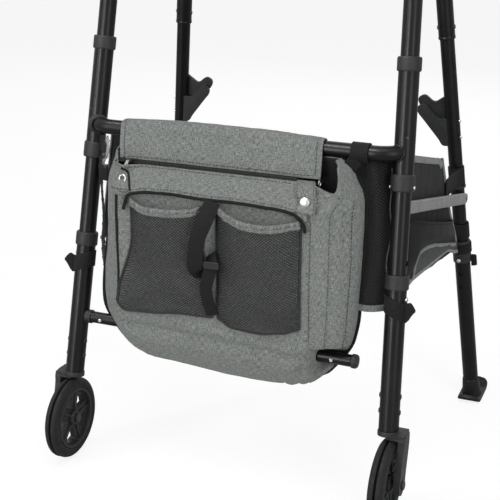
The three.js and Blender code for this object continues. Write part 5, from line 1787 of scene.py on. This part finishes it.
def addNetPockets():
    for side, look in netPockets.items():
        width = look["right"] - look["left"]
        surface = pocketSurface(look)
        cached = {}

        def known(u, v, surface=surface, cached=cached):
            key = (round(u, 6), round(v, 6))
            if key not in cached:
                cached[key] = surface(u, v)
            return cached[key]

        form = netForm(known, width, 0.172)
        cloth = piece(f"{side}PocketNet", form, "netYarn", "front_frame", f"{side}_mesh_pocket")
        # ruched grey hem along the mouth
        rows = []
        columns = int(width / 0.0012)
        for r in range(9):
            turn = 2 * pi * r / 8
            row = []
            for c in range(columns + 1):
                u = width * c / columns
                top = surface(u, 0.172)
                ruffle = 1 + 0.34 * sin(c * 1.15 + 1.3 * sin(c * 0.31)) + 0.2 * sin(c * 0.53)
                away = 0.0030 * ruffle * cos(turn)
                up = 0.0060 * (0.86 + 0.14 * ruffle) * sin(turn)
                row.append(top + Vector((0.0003 * sin(c * 2.1 + r), -away - 0.001, up - 0.002)))
            rows.append(row)
        hem = clothGrid(f"{side}PocketHem", rows, "greyMelange", "front_frame", thickness=0.0006,
                outward=None)
        # narrow black binding down both sides and along the foot
        outlinePath = [surface(0, 0.172 * (1 - k / 24)) for k in range(25)]
        outlinePath += [surface(width * k / 24, 0) for k in range(1, 24)]
        outlinePath += [surface(width, 0.172 * k / 24) for k in range(25)]
        path = [p + Vector((0, -0.0004, 0)) for p in evenly(outlinePath, 0.003)]
        bindingAlong(f"{side}PocketBinding", path, 0.0034, 0.0018, "netYarn", "front_frame")


def addMiddleWebbing():
    # black webbing hangs between the pockets, with a slide half way down
    spots = [(-0.0010, 0.450, 0.0085), (-0.008, 0.425, 0.019), (-0.0175, 0.400, 0.023),
            (-0.0225, 0.370, 0.022),
            (-0.0250, 0.352, 0.018), (-0.0225, 0.346, 0.010), (-0.018, 0.352, 0.005)]
    path = smoothPath([onBag(x, z, lift) for x, z, lift in spots], 7)
    bindingAlong("middleWebbing", path, 0.0235, 0.0016, "blackWebbing", "front_frame")
    spots = [(-0.006, 0.372, 0.006), (0.001, 0.362, 0.019), (-0.004, 0.342, 0.020), (-0.010, 0.322, 0.014),
            (-0.009, 0.298, 0.008), (-0.0055, 0.279, 0.002)]
    path = smoothPath([onBag(x, z, lift) for x, z, lift in spots], 6)
    bindingAlong("middleWebbingTail", path, 0.019, 0.0016, "blackWebbing", "front_frame")
    outline = [(-0.0115, -0.0055), (0.0115, -0.0055), (0.0125, 0.0), (0.0115, 0.0055), (-0.0115, 0.0055),
            (-0.0125, 0.0)]
    plate = plateForm(softened(outline, 0.003, True, 4), 0.0042)
    spot = onBag(0.002, 0.3615, 0.0215)
    buckle = toObject("middleSlide", moved(plate, facing(spot, (0.05, -1, 0.1))), "glideBlack")
    bevelled(buckle, 0.0012, 3, 50)
    joinsBody(buckle, "front_frame", "glideBlack")


def addNetWing():
    # the net that fills the space between the bag's rear edge and the right leg
    def edgeX(z):
        rise = riseAt(z)
        return bag["centre"] + sectionAt(rise)[0] * bag["rearHalf"] + 0.001

    width, height = 0.058, 0.205

    def surface(u, v):
        z = 0.302 + (0.5125 - 0.302) * v / height
        left = edgeX(min(z, 0.479)) - 0.012
        leg = legPoint(1, "front", z)
        share = min(u / width, 1)
        x = left + (leg.x - 0.0045 - left) * share
        fold = 0.0022 * wander(u * 50, v * 14, 2) + 0.0016 * sin(u * 260 + v * 22)
        rise = min(riseAt(z), 1.0)
        rearward = bag["rearFoot"] + (bag["rearTop"] - bag["rearFoot"]) * rise
        start = min(frontLine - rearward + 0.004, leg.y - 0.002)
        y = start + (leg.y + 0.0165 - start) * smoothStep(-0.036, -0.012, x - leg.x)
        return Vector((x, y + fold * sin(pi * share) + 0.004 * (1 - share), z))

    cloth = piece("wingNet", netForm(surface, width, height), "netYarn", "front_frame", "right_net_wing")
    backing = [[surface(width * c / 20, height * r / 40) + Vector((0, 0.0030, 0)) for c in range(21)]
            for r in range(41)]
    sheet = clothGrid("wingBacking", backing, "blackNylon", "front_frame", thickness=0.0008,
            outward=(0, -1, 0))
    foot = [surface(width * k / 10, 0) + Vector((0, -0.0008, -0.001)) for k in range(11)]
    hem = bindingAlong("wingFootBinding", evenly(foot, 0.004), 0.0095, 0.003, "greyMelange", "front_frame")
    piping = [surface(width * (0.76 + 0.03 * sin(k * 0.5)), height * (0.02 + 0.88 * k / 30))
            + Vector((0, -0.0016, 0))
            for k in range(31)]
    edge = strapPiece("wingPiping", transported(piping, Vector((1, 0, 0))), 0.0017, 0.0017, "greyMelange",
            "front_frame")
    # the backing's thickness is applied, and the wing's pieces are taken off their body and baked in place
    middle = legPoint(1, "front", 0.41)
    across = Vector((1, 0, tan(radians(legs["front"]["splay"]))))
    thick = sheet.modifiers["clothThickness"]
    with bpy.context.temp_override(object=sheet, active_object=sheet):
        bpy.ops.object.modifier_apply(modifier=thick.name)
    for part in (cloth, sheet, hem, edge):
        place = part.matrix_world.copy()
        part.parent = None
        part.matrix_world = place
        del part["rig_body"]
        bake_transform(part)


def addLeftNetCorner():
    # the loose corner of the rear net at the left, between the bar and the post
    def surface(u, v):
        z = 0.300 + v
        rise = min(riseAt(z), 1.0)
        inner = bag["centre"] - sectionAt(rise)[0] * bag["rearHalf"] + 0.003
        reach = 0.004 + 0.015 * smoothStep(0.12, 0.2, v) + 0.004 * smoothStep(0.12, 0.0, v)
        x = inner - reach * u / 0.02
        return Vector((x, frontLine - 0.026 - 0.004 * (1 - v / 0.206) - 0.002 * sin(v * 60), z))

    piece("leftNetCorner", netForm(surface, 0.02, 0.206, pitch=0.0030), "netYarn", "front_frame")


def addCrossbarWebbing():
    # webbing wrapped round the bar, with a leg down to the bag's corner
    middle = ahead(0.182, crossbar["forward"], crossbarHeight)
    stations = []
    for k in range(57):
        turn = radians(250 - 360 * k / 56)
        out = Vector((0, -cos(turn), sin(turn)))
        radius = 0.0124 + 0.0009 * k / 56
        stations.append((middle + out * radius, Vector((1, 0, 0)), out))
    strapPiece("crossbarWebbing", stations, 0.025, 0.0015, "blackWebbing", "front_frame",
            "crossbar_webbing")
    leg = smoothPath([middle + Vector((-0.004, -0.0105, -0.008)),
            middle + Vector((-0.010, -0.0105, -0.017)),
            ahead(0.166, 0.034, 0.494), ahead(0.160, 0.033, 0.480)], 6)
    bindingAlong("crossbarWebbingLeg", leg, 0.020, 0.0015, "blackWebbing", "front_frame", (0.1, -1, 0.1))


def addLeftLink():
    leg = legPoint(-1, "front", 0.447)
    reach = bag["centre"] - bag["rearHalf"] * 0.97
    path = [leg + Vector((0.0128, -0.001, 0)), Vector((reach - 0.006, frontLine - 0.029, 0.447)),
            Vector((reach + 0.010, frontLine - 0.034, 0.447))]
    bindingAlong("leftBagLink", smoothPath(path, 6), 0.020, 0.0022, "blackWebbing", "front_frame")
    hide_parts("left_bag_link")


addNetPockets()
addMiddleWebbing()
addNetWing()
addLeftNetCorner()
addCrossbarWebbing()
addLeftLink()
print("nets and webbing built")


# side pouches: a black panel with grey bindings between the posts
pouch = {"plane": (0.24065, -0.1404, 0.406), "perDepth": 0.0185, "perHeight": -0.0457, "panel": 0.0026,
        "frontAway": {1: 0.024, -1: 0.054},
        "depth": 0.0205}


def frontPostY(z):
    return frontLine + tan(radians(legs["front"]["lean"])) * (z - crossbarHeight)


def rearPostY(z):
    return legs["rear"]["y"] + tan(radians(legs["rear"]["lean"])) * (z - crossbarHeight)


def onPouch(side, y, z, out=0.0):
    x0, y0, z0 = pouch["plane"]
    x = x0 + pouch["perDepth"] * (y - y0) + pouch["perHeight"] * (z - z0) + out
    return Vector((side * x, y, z))


def pouchOutline(side):
    # front foot, rear foot, rear corner, waist, top rear, top front
    away = pouch["frontAway"][side]
    return [(frontPostY(0.328) + away, 0.328), (rearPostY(0.282) - 0.020, 0.282),
            (rearPostY(0.304) - 0.020, 0.304),
            (rearPostY(0.366) - 0.058, 0.366), (0.0835, 0.4585), (frontPostY(0.508) + away, 0.508)]


def pouchEdges(side, steps=40):
    a, b, c, d, e, f = [Vector((0, y, z)) for y, z in pouchOutline(side)]
    front = [a.lerp(f, k / steps) for k in range(steps + 1)]
    rear = evenly(smoothPath([b, c, d, e], 16), 0.0005)
    rear = [rear[round(k * (len(rear) - 1) / steps)] for k in range(steps + 1)]
    return front, rear


def addPouch(side, name):
    body = f"{name}_side_frame"
    front, rear = pouchEdges(side)
    rows = []
    for k in range(41):
        row = []
        for c in range(61):
            spot = front[k].lerp(rear[k], c / 60)
            slack = 0.0022 * wander(spot.y * 18, spot.z * 14, 3 + side)
            slack += 0.0010 * wander(spot.y * 50, spot.z * 40, 8)
            row.append(onPouch(side, spot.y, spot.z, slack * sin(pi * min(c / 60, 1)) + 0.0013))
        rows.append(row)
    clothGrid(f"{name}PouchPanel", rows, "blackNylon", body, f"{name}_side_pouch", thickness=pouch["panel"],
            outward=(side, 0, 0))
    out = Vector((side, 0, 0))
    top = [row + Vector((side * -0.0002, 0, -0.0050)) for row in rows[40][:59]]
    corner = top[-1]
    topPath = top + [corner + Vector((0, 0.002, -0.003)), corner + Vector((0, 0.003, -0.008))]
    bindingAlong(f"{name}PouchTopBinding", evenly(smoothPath(topPath[::6] + topPath[-2:], 6), 0.004),
            0.0100, 0.0042,
            "greyMelange", body, out)
    rearPath = [rows[k][60] for k in range(40, -1, -1)]
    strapPiece(f"{name}PouchRearPiping", transported(evenly(rearPath, 0.004), out), 0.0048, 0.0044,
            "greyMelange", body)
    frontPath = [rows[k][0] for k in range(41)]
    strapPiece(f"{name}PouchFrontPiping", transported(evenly(frontPath, 0.004), out), 0.0026, 0.0026,
            "greyMelange",
            body)
    addPouchPocket(side, name, body, out)


def addPouchPocket(side, name, body, out):
    # the outer pocket bows out below the brace, over a grey foot that shows under its arch; the foot is
    # drawn in a darker copy of the grey cloth as painted shade under the arch
    frontAt = lambda z: frontPostY(z) + pouch["frontAway"][side] + 0.0005
    archPoints = [(-0.135, 0.3260), (-0.092, 0.3265), (-0.077, 0.3450), (-0.045, 0.3535), (0.006, 0.3450),
            (0.092, 0.3185), (0.200, 0.2840)]
    archLine = smoothPath([(0, y, z) for y, z in archPoints], 10)

    def archAt(y):
        for a, b in zip(archLine, archLine[1:]):
            if y <= b.y:
                return a.z + (b.z - a.z) * (y - a.y) / (b.y - a.y)
        return archLine[-1].z

    rows = []
    for r in range(31):
        v = r / 30
        row = []
        for c in range(57):
            u = c / 56
            high = 0.419 - 0.074 * u
            y = frontAt(high) + (rearPostY(high) - 0.056 - frontAt(high)) * u
            y += (0.045 * u - 0.004) * (1 - v)
            low = archAt(y)
            z = low + (max(high, low + 0.004) - low) * v
            bow = sin(pi * min(u, 1)) ** 0.6
            lift = pouch["depth"] * bow * (0.25 + 0.75 * smoothStep(0.0, 0.45, v))
            lift += 0.0015 * wander(y * 25, z * 22, 5 + side)
            row.append(onPouch(side, y, z, 0.0016 + lift))
        rows.append(row)
    clothGrid(f"{name}PouchPocket", rows, "blackNylon", body, thickness=0.0018, outward=(side, 0, 0))
    arch = [p + out * 0.0006 for p in rows[0]]
    bindingAlong(f"{name}PocketArch", evenly(arch, 0.004), 0.0062, 0.0034, "greyMelange", body, out)
    bindingAlong(f"{name}PocketMouth", evenly(rows[30], 0.004), 0.0036, 0.0026, "blackWebbing", body, out)
    foot = []
    footStart = frontAt(0.329)
    for r in range(13):
        v = r / 12
        row = []
        for c in range(41):
            u = c / 40
            y = footStart + (0.192 - footStart) * u
            low = 0.3290 - 0.1130 * (y + 0.131) - 0.0165 * smoothStep(0.105, 0.185, y)
            z = low + (max(archAt(y) + 0.004, low + 0.004) - low) * v
            lift = 0.0034 + 0.006 * sin(pi * u) * sin(pi * v * 0.8)
            row.append(onPouch(side, y, z, lift))
        foot.append(row)
    # the foot's darker grey is painted shade under the arch
    clothGrid(f"{name}PouchFoot", foot, "paintedShadeMelange", body, thickness=0.0018, outward=(side, 0, 0))
    bindingAlong(f"{name}PouchFootEdge", evenly([p + Vector((0, 0, 0.001)) for p in foot[0]], 0.004),
            0.006, 0.0034,
            "greyMelange", body, out)


def ringStations(side, end, radius, heights, turns):
    # stations round a leg: heights and angles are paired lists
    way = legLine(side, end)[1]
    stations = []
    for z, turn in zip(heights, turns):
        point, aim = offLeg(side, end, z, turn, radius)
        stations.append((point, way, aim))
    return stations


def addLegBands():
    for side, name in bothSides:
        # front band: crosses the leg on a slant and ends in a pointed fold outboard
        turns = [200 - 380 * k / 60 for k in range(61)]
        heights = [0.3087 - 0.006 * cos(radians(turn)) for turn in turns]
        ring = ringStations(side, "front", 0.0154, heights, turns)
        strapPiece(f"{name}FrontBand", ring, 0.025, 0.0016, "blackWebbing", f"{name}_front_leg",
                f"{name}_front_band")
        root, aim = offLeg(side, "front", 0.3027, 18, 0.0146)
        way = legLine(side, "front")[1]
        ends = [(-0.001, 0.0125, -0.0125), (0.003, 0.0132, -0.0135), (0.007, 0.0155, -0.0095),
                (0.010, 0.0150, -0.0045),
                (0.0135, 0.0110, 0.0005), (0.0165, 0.0065, 0.0035)]
        stations = [(root + aim * away + way * (high + low) / 2, way * ((high - low) / 0.025),
                way.cross(aim))
                for away, high, low in ends]
        strapPiece(f"{name}FrontBandEnd", stations, 0.025, 0.0034, "blackWebbing", f"{name}_front_leg")
        # two turns of narrow webbing round the rear leg at its collar, with a small loop
        turns = [-180 + 360 * k / 48 for k in range(49)]
        heights = [0.3125 - 0.0015 * cos(radians(turn)) for turn in turns]
        low = ringStations(side, "rear", 0.0136, heights, turns)
        band = strapPiece(f"{name}RearLowBand", low, 0.0245, 0.0022, "blackWebbing", f"{name}_rear_leg",
                f"{name}_rear_lower_band")
        foot = legPoint(side, "rear", 0.300)
        tuple(legLine(side, "rear")[1])
        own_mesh(band)
        under = ringStations(side, "rear", 0.0158, [0.2815] * 49, turns)
        strapPiece(f"{name}RearLowTurn", under, 0.0160, 0.0016, "blackWebbing", f"{name}_rear_leg")
        root, aim = offLeg(side, "rear", 0.2570, -6, 0.0145)
        way = legLine(side, "rear")[1]
        across = way.cross(aim).normalized()
        loop = smoothPath([root + across * 0.003, root + aim * 0.005 + across * 0.003, root + aim * 0.0085,
                root + aim * 0.005 - across * 0.003, root - across * 0.003], 6)
        stations = []
        for i, centre in enumerate(loop):
            heading = (loop[min(i + 1, len(loop) - 1)] - loop[max(i - 1, 0)]).normalized()
            slant = (way - heading * way.dot(heading)).normalized()
            stations.append((centre, slant, heading.cross(slant)))
        strapPiece(f"{name}RearLowLoop", stations, 0.018, 0.0015, "blackWebbing", f"{name}_rear_leg")
        # wide band that ties the pouch to the rear post
        turns = [-200 + 380 * k / 52 for k in range(53)]
        upper = ringStations(side, "rear", 0.0122, [0.406] * 53, turns)
        strapPiece(f"{name}PouchBand", upper, 0.030, 0.0018, "blackWebbing", f"{name}_side_frame",
                f"{name}_rear_upper_band")
        z = 0.406
        y1 = rearPostY(z)
        tail = [onPouch(side, y1 - 0.010, z, 0.0112), onPouch(side, y1 - 0.030, z, 0.0058),
                onPouch(side, y1 - 0.055, z, 0.0040), onPouch(side, y1 - 0.084, z, 0.0036)]
        bindingAlong(f"{name}PouchBandTail", smoothPath(tail, 8), 0.030, 0.0018, "blackWebbing",
                f"{name}_side_frame", (side, 0, 0))
        # small rubber ring above the brace
        ring = softTurned([(0.0112, -0.002), (0.0138, -0.002), (0.0138, 0.002), (0.0112, 0.002)], 0.0012,
                40)
        piece(f"{name}PostRing", onLeg(ring, side, "rear", 0.3875), "mouldedBlack", f"{name}_side_frame")


for side, name in bothSides:
    addPouch(side, name)
addLegBands()
print("pouches and bands built")
